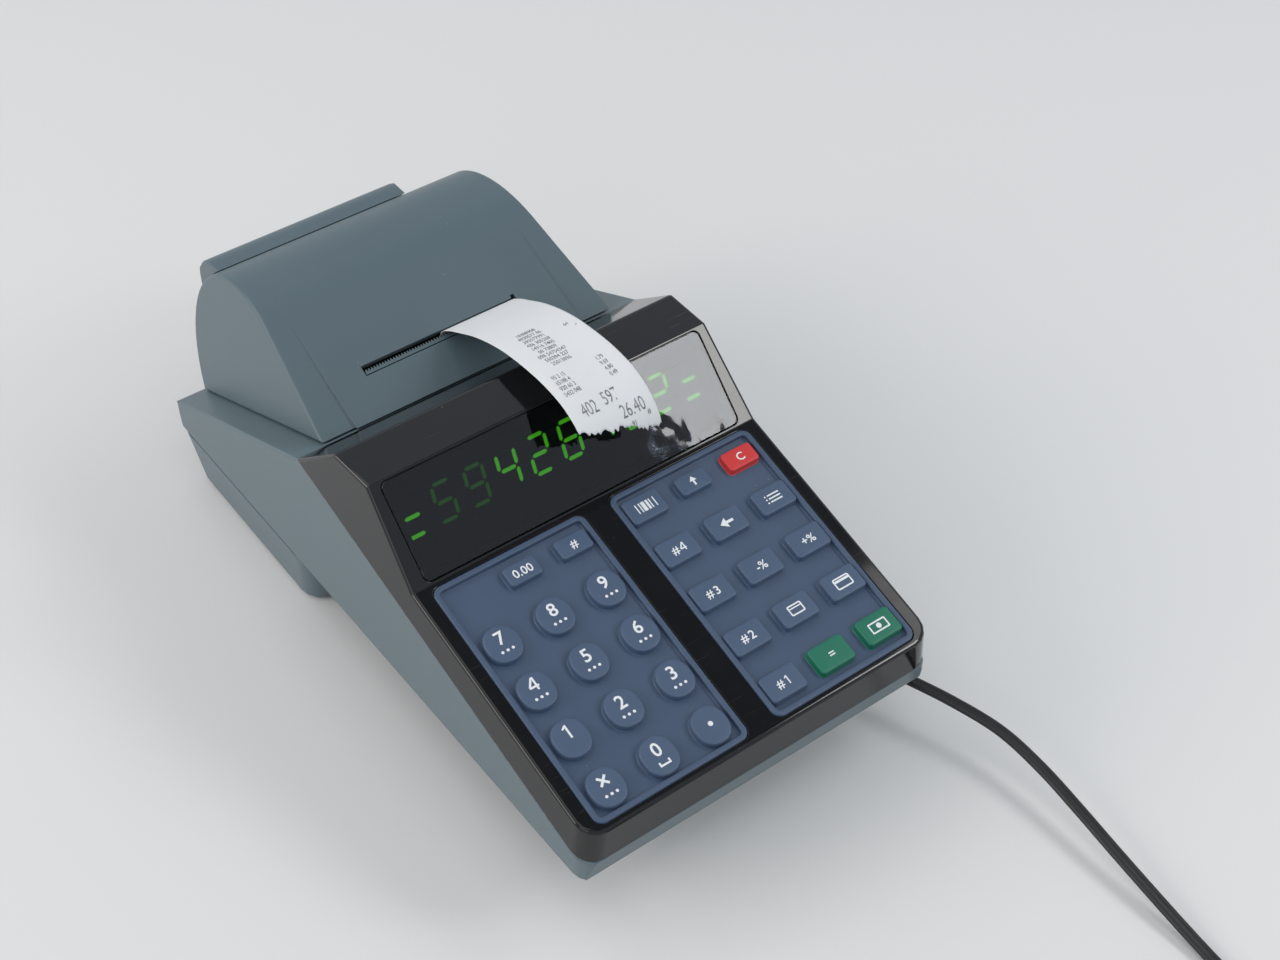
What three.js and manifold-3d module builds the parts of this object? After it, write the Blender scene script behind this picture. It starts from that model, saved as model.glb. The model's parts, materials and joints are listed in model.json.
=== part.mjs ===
// Ticket register: a small desk cash register with a two-lane receipt printer under a domed cover,
// a ten-digit display, two rubber keypads, a customer display pod and a low-voltage supply lead.
// Millimetres, +X right, +Y to the rear, +Z up. The origin is on the table, under the body's centre.

import * as THREE from 'three';
import { mergeVertices } from 'three/addons/utils/BufferGeometryUtils.js';
import Module from 'manifold-3d';

const wasm = await Module();
wasm.setup();

// Body, over everything but the lead
const BODY_LENGTH = 249.6;
const BODY_WIDTH = 129.4;
const BODY_FRONT = -BODY_LENGTH / 2;
const BODY_REAR = BODY_LENGTH / 2;

// Clearances and shared small sizes
const SEAM_GAP = 0.3;
const RUNNING_CLEARANCE = 0.1;
const OVERRUN = 20;
const WELD = 1e-4;
const RIGHT_ANGLE = 90;
const HALF_SHARE = 0.5;

// Glossy top shell: its profile runs back from the front edge over the keyboard, display and crest
const FRONT_EDGE_HEIGHT = 46.6;
const PARTING_FRONT_HEIGHT = 33.7;
const FRONT_LEAN = 0.6;
const KEYBOARD_LENGTH_SHARE = 0.3622;
const KEYBOARD_LENGTH = KEYBOARD_LENGTH_SHARE * BODY_LENGTH;
const KEYBOARD_ANGLE = 15.27;
const DISPLAY_LENGTH_SHARE = 0.1358;
const DISPLAY_LENGTH = DISPLAY_LENGTH_SHARE * BODY_LENGTH;
const DISPLAY_ANGLE = 45.5;
const CREST_LENGTH_SHARE = 0.0721;
const CREST_LENGTH = CREST_LENGTH_SHARE * BODY_LENGTH;
const CREST_ANGLE = 1.6;
const BACK_LENGTH_SHARE = 0.1118;
const BACK_LENGTH = BACK_LENGTH_SHARE * BODY_LENGTH;
const BACK_ANGLE = 38.3;
const SHELL_WALL = 2;
const SHELL_DRAFT_SHARE = 0.105;
const FRONT_CORNER = 7;

// Grey housing below and behind it
const HOUSING_WALL = 2.4;
const REAR_CORNER = 4;
const UNDERSIDE_FRONT_HEIGHT = 25.05;
const UNDERSIDE_REAR_HEIGHT = 19.8;
const FRONT_TUCK = 2.7;
const REAR_TUCK = 3.6;
const REAR_FACE_HEIGHT = 10.3;
const DECK_CORNER_HEIGHT = UNDERSIDE_REAR_HEIGHT + REAR_FACE_HEIGHT;
const DECK_CORNER_OVERHANG = 0.9;
const LIP_ROUNDING = 6.5;
const DECK_BAR_WIDTH = 4;
const WELL_SIDE_MARGINS = 37.4;
const WELL_WIDTH = BODY_WIDTH - WELL_SIDE_MARGINS;
const WELL_REAR_SETBACK = 12.4;

// Base tray with the foot block and the hidden front foot
const BLOCK_DEPTH_SHARE = 0.3578;
const BLOCK_DEPTH = BLOCK_DEPTH_SHARE * BODY_LENGTH;
const BLOCK_REAR_SETBACK = 9.9;
const BLOCK_SIDE_TUCK = 1.4;
const BLOCK_FRONT_TUCK = 2;
const BLOCK_CORNER = 8;
const TRAY_WALL = 2.4;
const TRAY_FLOOR = 2.2;
const TRAY_RIM = 3;
const PAD_STAND_HEIGHT = 1.2;
const PAD_SINK_DEPTH = 1.2;
const PAD_DEPTH = 9;
const REAR_PAD_WIDTH_SHARE = 0.742;
const REAR_PAD_WIDTH = REAR_PAD_WIDTH_SHARE * BODY_WIDTH;
const REAR_PAD_INSET = 8;
const FRONT_PAD_WIDTH_SHARE = 0.587;
const FRONT_PAD_WIDTH = FRONT_PAD_WIDTH_SHARE * BODY_WIDTH;
const FRONT_FOOT_INSET_SHARE = 0.1442;
const FRONT_FOOT_INSET = FRONT_FOOT_INSET_SHARE * BODY_LENGTH;
const FOOT_WIDTH_SHARE = 0.649;
const FOOT_WIDTH = FOOT_WIDTH_SHARE * BODY_WIDTH;
const FOOT_DEPTH = 13;
const FOOT_TAPER = 2;

// Domed printer cover
const DOME_RADIUS_SHARE = 0.16827;
const DOME_RADIUS = DOME_RADIUS_SHARE * BODY_LENGTH;
const DOME_DROP_SHARE = 0.5188;
const DOME_SIDE_MARGIN = 9.7;
const DOME_HALF_WIDTH = BODY_WIDTH / 2 - DOME_SIDE_MARGIN;
const DOME_DRAFT_SHARE = 0.138;
const DOME_WALL = 2.2;
const DOME_TUCK_ANGLE = 48;
const DOME_FRONT_STEP = 0.5;
const PANEL_WIDTH_SHARE = 0.7782;
const PANEL_HALF_WIDTH = PANEL_WIDTH_SHARE * DOME_HALF_WIDTH;
const PANEL_SINK_DEPTH = 1.1;

// Paper, its slot and the tear comb, on the dome's front slope
const PAPER_WIDTH_SHARE = 0.20866;
const PAPER_WIDTH = PAPER_WIDTH_SHARE * BODY_WIDTH;
const SLOT_CENTRE_X_SHARE = -0.01;
const SLOT_CENTRE_X = SLOT_CENTRE_X_SHARE * BODY_WIDTH;
const SLOT_SLACK = 4.6;
const SLOT_LENGTH = 2 * PAPER_WIDTH + SLOT_SLACK;
const SLOT_DISTANCE = 15;
const SLOT_WIDTH = 2.6;
const NOTCH_WIDTH = 1.4;
const NOTCH_RISE = 1.2;
const COMB_BACK_DEPTH = 0.8;
const COMB_TOOTH_HEIGHT = 1.1;
const COMB_PITCH = 1.02;
const COMB_FLANGE_DEPTH = 4;
const COMB_FLANGE_THICKNESS = 1.2;

// Cover hinge
const HINGE_PIN_RADIUS = 1.25;
const KNUCKLE_RADIUS = 2.5;
const KNUCKLE_WIDTH = 8;
const KNUCKLE_INNER_DISTANCE = 12;
const HINGE_SETBACK = 3;
const HINGE_RISE = 3.6;

// Customer display pod on the rear of the dome
const POD_CENTRE_X_SHARE = -0.0734;
const POD_CENTRE_X = POD_CENTRE_X_SHARE * BODY_WIDTH;
const POD_WIDTH_SHARE = 0.564;
const POD_WIDTH = POD_WIDTH_SHARE * BODY_WIDTH;
const POD_BOTTOM_SHARE = -0.0714;
const POD_TOP_SHARE = 0.7857;
const POD_TOP_RADIUS_SHARE = 0.2857;
const POD_TOP_RADIUS = POD_TOP_RADIUS_SHARE * DOME_RADIUS;
const POD_HEEL_RADIUS = 4;
const POD_END_RADIUS = 1.2;
const POD_WALL = 2;
const POD_WINDOW_MARGINS = 15;
const POD_WINDOW_WIDTH = POD_WIDTH - POD_WINDOW_MARGINS;
const POD_WINDOW_MARGIN = 0.6;
const POD_WINDOW_THICKNESS = 1.2;
const POD_LEDGE_WIDTH = 1.2;

// Display window and digit module
const WINDOW_SIDE_MARGIN = 2.6;
const WINDOW_END_MARGIN = 1;
const WINDOW_THICKNESS = 1.2;
const WINDOW_LEDGE_WIDTH = 2.2;
const MODULE_DEPTH = 4;
const MODULE_BLOCK_THICKNESS = 4;
const MODULE_SIDE_MARGINS = 12.4;
const MODULE_BOARD_WIDTH = BODY_WIDTH - MODULE_SIDE_MARGINS;
const MODULE_END_MARGINS = 6.9;
const MODULE_BOARD_HEIGHT = DISPLAY_LENGTH - MODULE_END_MARGINS;
const MODULE_BLOCK_WIDTH_SHARE = 0.9573;
const MODULE_BLOCK_WIDTH = MODULE_BLOCK_WIDTH_SHARE * MODULE_BOARD_WIDTH;
const MODULE_BLOCK_HEIGHT_SHARE = 0.63;
const MODULE_BLOCK_HEIGHT = MODULE_BLOCK_HEIGHT_SHARE * MODULE_BOARD_HEIGHT;
const BOARD_THICKNESS = 1.6;
const POST_RADIUS = 2;

// Keypads
const MAT_GAP = 9.4;
const MAT_SIDE_MARGIN = 6.2;
const MAT_TOP_MARGIN = 1.7;
const MAT_FRONT_MARGIN = 2.1;
const MAT_WIDTH = (BODY_WIDTH - MAT_GAP) / 2 - MAT_SIDE_MARGIN;
const MAT_LENGTH = KEYBOARD_LENGTH - MAT_TOP_MARGIN - MAT_FRONT_MARGIN;
const MAT_CENTRE_X = (MAT_WIDTH + MAT_GAP) / 2;
const MAT_CORNER = 3.2;
const MAT_SINK_DEPTH = 1.2;
const MAT_RIM_WIDTH = 1.9;
const MAT_RIM_RISE = 0.5;
const MAT_FLANGE_WIDTH = 1.2;
const KEY_COLUMN_SHARE = 0.3402;
const KEY_COLUMN_PITCH = KEY_COLUMN_SHARE * MAT_WIDTH;
const KEY_ROW_SHARE = 0.2015;
const KEY_ROW_PITCH = KEY_ROW_SHARE * MAT_LENGTH;
const KEY_FIRST_ROW_SHARE = 0.0958;
const KEY_FIRST_ROW_DISTANCE = MAT_TOP_MARGIN + KEY_FIRST_ROW_SHARE * MAT_LENGTH;
const KEY_RISE = 1.3;
const KEY_SOCKET_DEPTH = 3.4;
const KEY_CHAMFER = 0.6;
const KEY_CLEARANCE = 0.35;
const KEY_TRAVEL = 1.2;
const WIDE_KEY_WIDTH_SHARE = 0.71;
const WIDE_KEY_WIDTH = WIDE_KEY_WIDTH_SHARE * KEY_COLUMN_PITCH;
const WIDE_KEY_HEIGHT_SHARE = 0.516;
const WIDE_KEY_HEIGHT = WIDE_KEY_HEIGHT_SHARE * KEY_ROW_PITCH;
const SMALL_KEY_WIDTH_SHARE = 0.623;
const SMALL_KEY_WIDTH = SMALL_KEY_WIDTH_SHARE * KEY_COLUMN_PITCH;
const SMALL_KEY_HEIGHT_SHARE = 0.401;
const SMALL_KEY_HEIGHT = SMALL_KEY_HEIGHT_SHARE * KEY_ROW_PITCH;
const RECT_KEY_CORNER = 1.3;
const ROUND_KEY_WIDTH_SHARE = 0.612;
const ROUND_KEY_WIDTH = ROUND_KEY_WIDTH_SHARE * KEY_COLUMN_PITCH;
const ROUND_KEY_HEIGHT_SHARE = 0.7106;
const ROUND_KEY_HEIGHT = ROUND_KEY_HEIGHT_SHARE * KEY_ROW_PITCH;
const KEY_ROUNDNESS_SHARE = 0.86;
const KEY_BOARD_SIDE_MARGINS = 10.4;
const KEY_BOARD_WIDTH = BODY_WIDTH - KEY_BOARD_SIDE_MARGINS;
const KEY_BOARD_END_MARGINS = 7.4;
const KEY_BOARD_LENGTH = KEYBOARD_LENGTH - KEY_BOARD_END_MARGINS;

// Printer frame, seen with the cover open
const THROAT_SLACK = 3.4;
const THROAT_HALF_WIDTH = PAPER_WIDTH + THROAT_SLACK;
const FRAME_WALL = 2;
const FRAME_PARTITION_THICKNESS = 1.2;
const FRAME_FRONT_SETBACK = 4;
const FRAME_REAR_SETBACK = 14.8;
const FRAME_MARGIN = 4;
const ROLL_RADIUS_SHARE = 0.08013;
const ROLL_RADIUS = ROLL_RADIUS_SHARE * BODY_LENGTH;
const ROLL_CORE_RADIUS_SHARE = 0.3;
const ROLL_CORE_RADIUS = ROLL_CORE_RADIUS_SHARE * ROLL_RADIUS;
const ROLL_REAR_DISTANCE_SHARE = 2.04;
const ROLL_REAR_DISTANCE = ROLL_REAR_DISTANCE_SHARE * ROLL_RADIUS;
const ROLL_FLOOR_GAP = 7;
const PAPER_THICKNESS = 0.36;
const FRAME_BEAM_HEIGHT = 5;
const PLATEN_RADIUS_SHARE = 0.3;
const PLATEN_RADIUS = PLATEN_RADIUS_SHARE * ROLL_RADIUS;
const PLATEN_SHAFT_RADIUS = 2;
const PLATEN_SETBACK_SHARE = 0.47;
const PLATEN_SETBACK = PLATEN_SETBACK_SHARE * ROLL_RADIUS;
const PLATEN_DROP_SHARE = 0.88;
const PLATEN_DROP = PLATEN_DROP_SHARE * ROLL_RADIUS;
const SHAFT_END_LENGTH = 1.5;
const SPOOL_FLANGE_RADIUS_SHARE = 0.75;
const SPOOL_FLANGE_RADIUS = SPOOL_FLANGE_RADIUS_SHARE * ROLL_RADIUS;
const SPOOL_FLANGE_THICKNESS = 1.4;
const SPOOL_WOUND_RADIUS_SHARE = 0.45;
const SPOOL_WOUND_RADIUS = SPOOL_WOUND_RADIUS_SHARE * ROLL_RADIUS;
const SPOOL_REAR_DISTANCE_SHARE = 1.84;
const SPOOL_REAR_DISTANCE = SPOOL_REAR_DISTANCE_SHARE * ROLL_RADIUS;
const SPOOL_RISE_SHARE = 2.05;
const SPOOL_RISE = SPOOL_RISE_SHARE * ROLL_RADIUS;
const HEAD_THICKNESS = 3;
const HEAD_HEIGHT_SHARE = 0.75;
const HEAD_HEIGHT = HEAD_HEIGHT_SHARE * ROLL_RADIUS;
const HEAD_FIN_DEPTH = 3;
const HEAD_FIN_THICKNESS = 1;
const HEAD_FIN_COUNT = 4;
const HEAD_GAP = 0.6;

// Feed gears
const GEAR_MODULE_SHARE = 0.055;
const GEAR_MODULE = GEAR_MODULE_SHARE * ROLL_RADIUS;
const PLATEN_TEETH = 26;
const PINION_TEETH = 14;
const GEAR_WIDTH = 4;
const GEAR_GAP = 1.2;
const GEAR_BACKLASH = 0.32;
const GEAR_ADDENDUM_SHARE = 0.8;
const GEAR_DEDENDUM_SHARE = 1.15;
const GEAR_PRESSURE_ANGLE = 25;
const MOTOR_ANGLE = 15;
const MOTOR_RADIUS_SHARE = 0.5;
const MOTOR_RADIUS = MOTOR_RADIUS_SHARE * ROLL_RADIUS;
const MOTOR_LENGTH_SHARE = 0.9;
const MOTOR_LENGTH = MOTOR_LENGTH_SHARE * ROLL_RADIUS;
const MOTOR_SHAFT_RADIUS = 1;
const MOTOR_SHAFT_INSERT = 4;

// Inside the case
const MAIN_BOARD_SIDE_MARGINS = 17.4;
const MAIN_BOARD_WIDTH = BODY_WIDTH - MAIN_BOARD_SIDE_MARGINS;
const MAIN_BOARD_LENGTH_SHARE = 0.4728;
const MAIN_BOARD_LENGTH = MAIN_BOARD_LENGTH_SHARE * BODY_LENGTH;
const MAIN_BOARD_FRONT_SETBACK_SHARE = 0.056;
const MAIN_BOARD_FRONT_SETBACK = MAIN_BOARD_FRONT_SETBACK_SHARE * BODY_LENGTH;
const MAIN_BOARD_STAND = 4;
const CELL_RADIUS_SHARE = 0.0657;
const CELL_RADIUS = CELL_RADIUS_SHARE * BODY_WIDTH;
const CELL_LENGTH_SHARE = 0.2;
const CELL_LENGTH = CELL_LENGTH_SHARE * BODY_LENGTH;
const CELL_SIDE_DISTANCE = 2 * CELL_RADIUS;
const CELL_FRONT_DISTANCE_SHARE = 0.032;
const CELL_FRONT_DISTANCE = CELL_FRONT_DISTANCE_SHARE * BODY_LENGTH;

// Receipt: the points of its curl are height over the slot's mouth and distance in front of it
const RECEIPT_OFFSET = 0.2;
const RECEIPT_CENTRE_X = SLOT_CENTRE_X + PAPER_WIDTH / 2 + RECEIPT_OFFSET;
const RECEIPT_REACH_SHARE = 0.3285;
const RECEIPT_REACH = RECEIPT_REACH_SHARE * BODY_LENGTH;
const RECEIPT_RISE_SHARE = 0.0785;
const RECEIPT_RISE = RECEIPT_RISE_SHARE * BODY_LENGTH;
const RECEIPT_CURL_SHARES = [
  [0.002, 0], [0.06, 0.19], [0.137, 0.37], [0.263, 0.64], [0.434, 0.885],
  [0.6, 0.99], [0.73, 1], [0.845, 0.915], [0.925, 0.725], [0.973, 0.5], [1, 0.235],
];

// Main board: chips, memory box, capacitor bank and connector as shares of it: x0, y0, x1, y1, height
const BOARD_PART_SHARES = [
  [-0.32, 0.12, 0.02, 0.34, 0.025], [0.2, 0.2, 0.68, 0.5, 0.07], [-0.75, 0.55, -0.35, 0.9, 0.1],
  [-0.1, 0.62, 0.3, 0.78, 0.04], [0.5, 0.7, 0.9, 0.95, 0.12],
];

// Lead: a flat twin cord from the plug under the case to a coil and a plug-top supply
const CORD_WIDTH = 4;
const CORD_THICKNESS = 2.2;
const CORD_LIFT = 0.4;
const CORD_JOINT = 0.05;
const CORD_SIDES = 8;
const CORD_STEPS = 54;
const PLUG_X_SHARE = 0.17;
const PLUG_X = PLUG_X_SHARE * BODY_WIDTH;
const PLUG_HEIGHT = 11.5;
const PLUG_BARREL_RADIUS = 2.75;
const PLUG_BARREL_LENGTH = 8;
const PLUG_BODY_RADIUS = 5;
const PLUG_BODY_LENGTH = 17;
const PLUG_RELIEF_RADIUS = 2.6;
const PLUG_RELIEF_LENGTH = 13;
// The lead's route, as shares of the body's width, its length and the underside's height
const CORD_ROUTE_SHARES = [
  [0.181, -0.04, 0.471], [0.2164, -0.1002, 0.511], [0.286, -0.1803, 0.567],
  [0.3594, -0.2644, 0.615], [0.4235, -0.3486, 0.647], [0.483, -0.4407, 0.655], [0.541, -0.5208, 0.623],
  [0.5811, -0.5889, 0.551], [0.5943, -0.653, 0.455], [0.5889, -0.7212, 0.371], [0.5804, -0.7853, 0.291],
  [0.575, -0.8454, 0.212], [0.5711, -0.9014, 0.136], [0.568, -0.9535, 0.08], [0.5651, -1.0016, 0.062],
];
const COIL_CENTRE_X_SHARE = 0.3555;
const COIL_CENTRE_X = COIL_CENTRE_X_SHARE * BODY_WIDTH;
const COIL_CENTRE_Y_SHARE = -1.09375;
const COIL_CENTRE_Y = COIL_CENTRE_Y_SHARE * BODY_LENGTH;
const COIL_OUTER_RADIUS_SHARE = 6.75;
const COIL_OUTER_RADIUS = COIL_OUTER_RADIUS_SHARE * CORD_WIDTH;
const COIL_PITCH_SHARE = 1.15;
const COIL_PITCH = COIL_PITCH_SHARE * CORD_WIDTH;
const COIL_LAYER_GAP = 0.6;
const COIL_LAYER_HEIGHT = CORD_THICKNESS + COIL_LAYER_GAP;
const COIL_LAYERS = 4;
const COIL_LAYER_TURNS = 2.25;
const COIL_TURNS = 8.3;
const COIL_STEPS = 24;
const COIL_SIDES = 6;
// Where the tail leaves the coil, as shares of its outer radius from its centre
const COIL_TAIL_SHARES = [[-0.7926, -0.5704], [-0.9481, -0.4222]];
const COIL_TAIL_Y_SHARE = -0.3704;
const SUPPLY_DISTANCE = 11;
const SUPPLY_WIDTH = 38;
const SUPPLY_LENGTH = 56;
const SUPPLY_HEIGHT = 28;
const SUPPLY_CORNER = 5;
const SUPPLY_DRAFT_DEPTH = 1.2;
const SUPPLY_RELIEF_RADIUS = 3.2;
const SUPPLY_RELIEF_LENGTH = 6;
const SUPPLY_PIN_RADIUS = 2;
const SUPPLY_PIN_LENGTH = 19;
const SUPPLY_PIN_SPACING = 19;

// Smoothness of round stretches
const ARC_STEPS = 20;
const CORNER_STEPS = 4;
const SMALL_CORNER = 1.7;
const ROUND_STEPS = 28;
const SMALL_ROUND_STEPS = 16;

const { PI, atan2, cos, sin, sqrt, tan, hypot, min, max, round } = Math;
const radians = THREE.MathUtils.degToRad;

const FINISH = {
  housing: { color: 0x6f7f87, roughness: 0.62, metalness: 0 },
  cover: { color: 0x63747c, roughness: 0.6, metalness: 0 },
  tray: { color: 0x6f7f87, roughness: 0.66, metalness: 0 },
  gloss: { color: 0x101114, roughness: 0.12, metalness: 0 },
  window: { color: 0x0a0e1a, roughness: 0.05, metalness: 0 },
  module: { color: 0x16301c, roughness: 0.5, metalness: 0 },
  mat: { color: 0x3f5674, roughness: 0.6, metalness: 0 },
  key: { color: 0x435a78, roughness: 0.58, metalness: 0 },
  clear_key: { color: 0xe0393f, roughness: 0.5, metalness: 0 },
  total_key: { color: 0x137a58, roughness: 0.5, metalness: 0 },
  board: { color: 0x1d5a36, roughness: 0.5, metalness: 0 },
  frame: { color: 0x24262a, roughness: 0.55, metalness: 0 },
  steel: { color: 0x9a9da0, roughness: 0.35, metalness: 1 },
  rubber: { color: 0x1a1a1b, roughness: 0.85, metalness: 0 },
  gear: { color: 0xd9d6cc, roughness: 0.5, metalness: 0 },
  paper: { color: 0xeceef2, roughness: 0.85, metalness: 0 },
  battery: { color: 0x2b4f8a, roughness: 0.45, metalness: 0 },
  cord: { color: 0x17171a, roughness: 0.5, metalness: 0 },
};

// Small geometry helpers

/** A named mesh in its finish. */
function piece(name, geometry, finish) {
  geometry.computeVertexNormals();
  const mesh = new THREE.Mesh(geometry, new THREE.MeshStandardMaterial(FINISH[finish]));
  mesh.name = name;
  return mesh;
}

/** A closed geometry as a solid that can be cut and joined. */
function solid(geometry) {
  const bare = new THREE.BufferGeometry();
  bare.setAttribute('position', geometry.getAttribute('position').clone());
  if (geometry.index) {
    bare.setIndex(geometry.index.clone());
  }
  const merged = mergeVertices(bare, WELD);
  const vertProperties = Float32Array.from(merged.attributes.position.array);
  const triVerts = Uint32Array.from(merged.index.array);
  return new wasm.Manifold(new wasm.Mesh({ numProp: 3, vertProperties, triVerts }));
}

/** A solid as a geometry again. */
function shapeOf(body) {
  const mesh = body.getMesh();
  const geometry = new THREE.BufferGeometry();
  geometry.setAttribute('position', new THREE.BufferAttribute(Float32Array.from(mesh.vertProperties), 3));
  geometry.setIndex(new THREE.BufferAttribute(Uint32Array.from(mesh.triVerts), 1));
  return geometry;
}

/** Joins solids. */
function joined(...bodies) {
  return bodies.reduce((whole, body) => whole.add(body));
}

/** A closed outline from points, each [across, up]. */
function outline(points) {
  return new THREE.Shape(points.map(([u, v]) => new THREE.Vector2(u, v)));
}

/** A side profile in (y, z), carried along X from one place to another. */
function alongX(shape, from, to) {
  const geometry = new THREE.ExtrudeGeometry(shape, {
    depth: to - from, bevelEnabled: false, curveSegments: ARC_STEPS, steps: 1,
  });
  const turn = new THREE.Matrix4().makeBasis(
    new THREE.Vector3(0, 1, 0), new THREE.Vector3(0, 0, 1), new THREE.Vector3(1, 0, 0));
  return geometry.applyMatrix4(turn).translate(from, 0, 0);
}

/** A plan outline in (x, y), carried up Z from one height to another. */
function upright(shape, from, to) {
  const geometry = new THREE.ExtrudeGeometry(shape, {
    depth: to - from, bevelEnabled: false, curveSegments: CORNER_STEPS, steps: 1,
  });
  return geometry.translate(0, 0, from);
}

/** A front outline in (x, z), carried back along Y from one place to another. */
function alongY(shape, from, to) {
  const geometry = new THREE.ExtrudeGeometry(shape, {
    depth: to - from, bevelEnabled: false, curveSegments: CORNER_STEPS, steps: 1,
  });
  const turn = new THREE.Matrix4().makeBasis(
    new THREE.Vector3(1, 0, 0), new THREE.Vector3(0, 0, 1), new THREE.Vector3(0, -1, 0));
  return geometry.applyMatrix4(turn).translate(0, to, 0);
}

/** A box between two corners. */
function block([x0, y0, z0], [x1, y1, z1]) {
  const geometry = new THREE.BoxGeometry(x1 - x0, y1 - y0, z1 - z0);
  return geometry.translate((x0 + x1) / 2, (y0 + y1) / 2, (z0 + z1) / 2);
}

/** A round bar along X. */
function barX(y, z, radius, from, to, steps = SMALL_ROUND_STEPS) {
  const geometry = new THREE.CylinderGeometry(radius, radius, to - from, steps);
  return geometry.rotateZ(-PI / 2).translate((from + to) / 2, y, z);
}

/** A turned piece about X: its profile points are [radius, place along X]. */
function turnedX(points, y, z, steps = ROUND_STEPS) {
  const geometry = new THREE.LatheGeometry(points.map(([r, x]) => new THREE.Vector2(r, x)), steps);
  return geometry.rotateZ(-PI / 2).translate(0, y, z);
}

/** Points round one corner, through a quarter turn from an angle. */
function corner(cx, cy, radius, from) {
  const steps = radius < SMALL_CORNER ? CORNER_STEPS - 1 : CORNER_STEPS;
  return Array.from({ length: steps + 1 }, (_, k) => {
    const angle = from + (PI / 2) * (k / steps);
    return [cx + radius * cos(angle), cy + radius * sin(angle)];
  });
}

/** A rounded rectangle's points about a centre. */
function rectPoints(width, height, radius, cx = 0, cy = 0) {
  const [x, y] = [width / 2 - radius, height / 2 - radius];
  return [
    ...corner(cx + x, cy - y, radius, -PI / 2), ...corner(cx + x, cy + y, radius, 0),
    ...corner(cx - x, cy + y, radius, PI / 2), ...corner(cx - x, cy - y, radius, PI),
  ];
}

/** A rounded rectangle about a centre. */
function roundedRect(...sizes) {
  return outline(rectPoints(...sizes));
}

/** A case's points seen from above: rounded at the front and, by another radius, at the rear. */
function planPoints(half, front, rear, frontRadius, rearRadius) {
  const [x, y] = [half - frontRadius, half - rearRadius];
  return [
    ...corner(x, front + frontRadius, frontRadius, -PI / 2), ...corner(y, rear - rearRadius, rearRadius, 0),
    ...corner(-y, rear - rearRadius, rearRadius, PI / 2), ...corner(-x, front + frontRadius, frontRadius, PI),
  ];
}

/** A case seen from above. */
function casePlan(...sizes) {
  return outline(planPoints(...sizes));
}

/** Points of an outline raised to one height. */
function ringAt(points, height) {
  return points.map(([x, y]) => new THREE.Vector3(x, y, height));
}

/** A closed skin through convex rings of equal count, the first at the bottom. */
function loft(rings) {
  const count = rings[0].length;
  const positions = rings.flat().flatMap((p) => [p.x, p.y, p.z]);
  const index = [];
  for (let level = 0; level + 1 < rings.length; level += 1) {
    for (let k = 0; k < count; k += 1) {
      const [a, b] = [level * count + k, level * count + ((k + 1) % count)];
      index.push(a, b, b + count, a, b + count, a + count);
    }
  }
  const top = (rings.length - 1) * count;
  for (let k = 1; k + 1 < count; k += 1) {
    index.push(0, k + 1, k, top, top + k, top + k + 1);
  }
  const geometry = new THREE.BufferGeometry();
  geometry.setAttribute('position', new THREE.Float32BufferAttribute(positions, 3));
  geometry.setIndex(index);
  return geometry;
}

/** A closed polygon with each side moved in by its own distance; a negative one moves it out. */
function insetPolygon(points, distances) {
  const count = points.length;
  const lines = points.map(([x0, y0], i) => {
    const [x1, y1] = points[(i + 1) % count];
    const span = hypot(x1 - x0, y1 - y0);
    const [dx, dy] = [(x1 - x0) / span, (y1 - y0) / span];
    return { x: x0 - dy * distances[i], y: y0 + dx * distances[i], dx, dy };
  });
  return lines.map((b, i) => {
    const a = lines[(i + count - 1) % count];
    const cross = a.dx * b.dy - a.dy * b.dx;
    const t = ((b.x - a.x) * b.dy - (b.y - a.y) * b.dx) / cross;
    return [a.x + a.dx * t, a.y + a.dy * t];
  });
}

/** A frame on a slope: Y runs up the slope and Z stands out of it. */
function slopeFrame([y, z], degrees) {
  const turn = new THREE.Matrix4().makeRotationX(radians(degrees));
  return new THREE.Matrix4().makeTranslation(0, y, z).multiply(turn);
}

/** A point some way from another at a slope, in (y, z). */
function step([y, z], distance, degrees) {
  return [y + distance * cos(radians(degrees)), z + distance * sin(radians(degrees))];
}

/** The slope between two points of the side view, in degrees. */
function slopeOf([y0, z0], [y1, z1]) {
  return THREE.MathUtils.radToDeg(atan2(z1 - z0, y1 - y0));
}

/** The height of a line through a point at a slope. */
function heightOn([y0, z0], degrees, y) {
  return z0 + (y - y0) * tan(radians(degrees));
}

// The case's side view, in (y, z)
const frontEdge = [BODY_FRONT, FRONT_EDGE_HEIGHT];
const displayFoot = step(frontEdge, KEYBOARD_LENGTH, KEYBOARD_ANGLE);
const displayTop = step(displayFoot, DISPLAY_LENGTH, DISPLAY_ANGLE);
const ridge = step(displayTop, CREST_LENGTH, -CREST_ANGLE);
const shellRear = step(ridge, BACK_LENGTH, -BACK_ANGLE);
const partingFront = [BODY_FRONT + FRONT_LEAN, PARTING_FRONT_HEIGHT];
const partingSlope = slopeOf(partingFront, shellRear);
const deckCorner = [BODY_REAR + DECK_CORNER_OVERHANG, DECK_CORNER_HEIGHT];
const deckSlope = slopeOf(shellRear, deckCorner);
const underFront = [BODY_FRONT + FRONT_TUCK, UNDERSIDE_FRONT_HEIGHT];
const underRear = [BODY_REAR - REAR_TUCK, UNDERSIDE_REAR_HEIGHT];
const underSlope = slopeOf(underFront, underRear);
const underHeight = (y) => heightOn(underFront, underSlope, y);
const deckHeight = (y) => heightOn(shellRear, deckSlope, y);
const halfWidth = BODY_WIDTH / 2;
// The housing's inner faces at the parting with the tray, front and rear
const innerFront = underFront[0] + HOUSING_WALL / sin(radians(slopeOf(underFront, partingFront)));
const innerRear = underRear[0] - HOUSING_WALL / sin(radians(slopeOf(underRear, deckCorner)));

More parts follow.
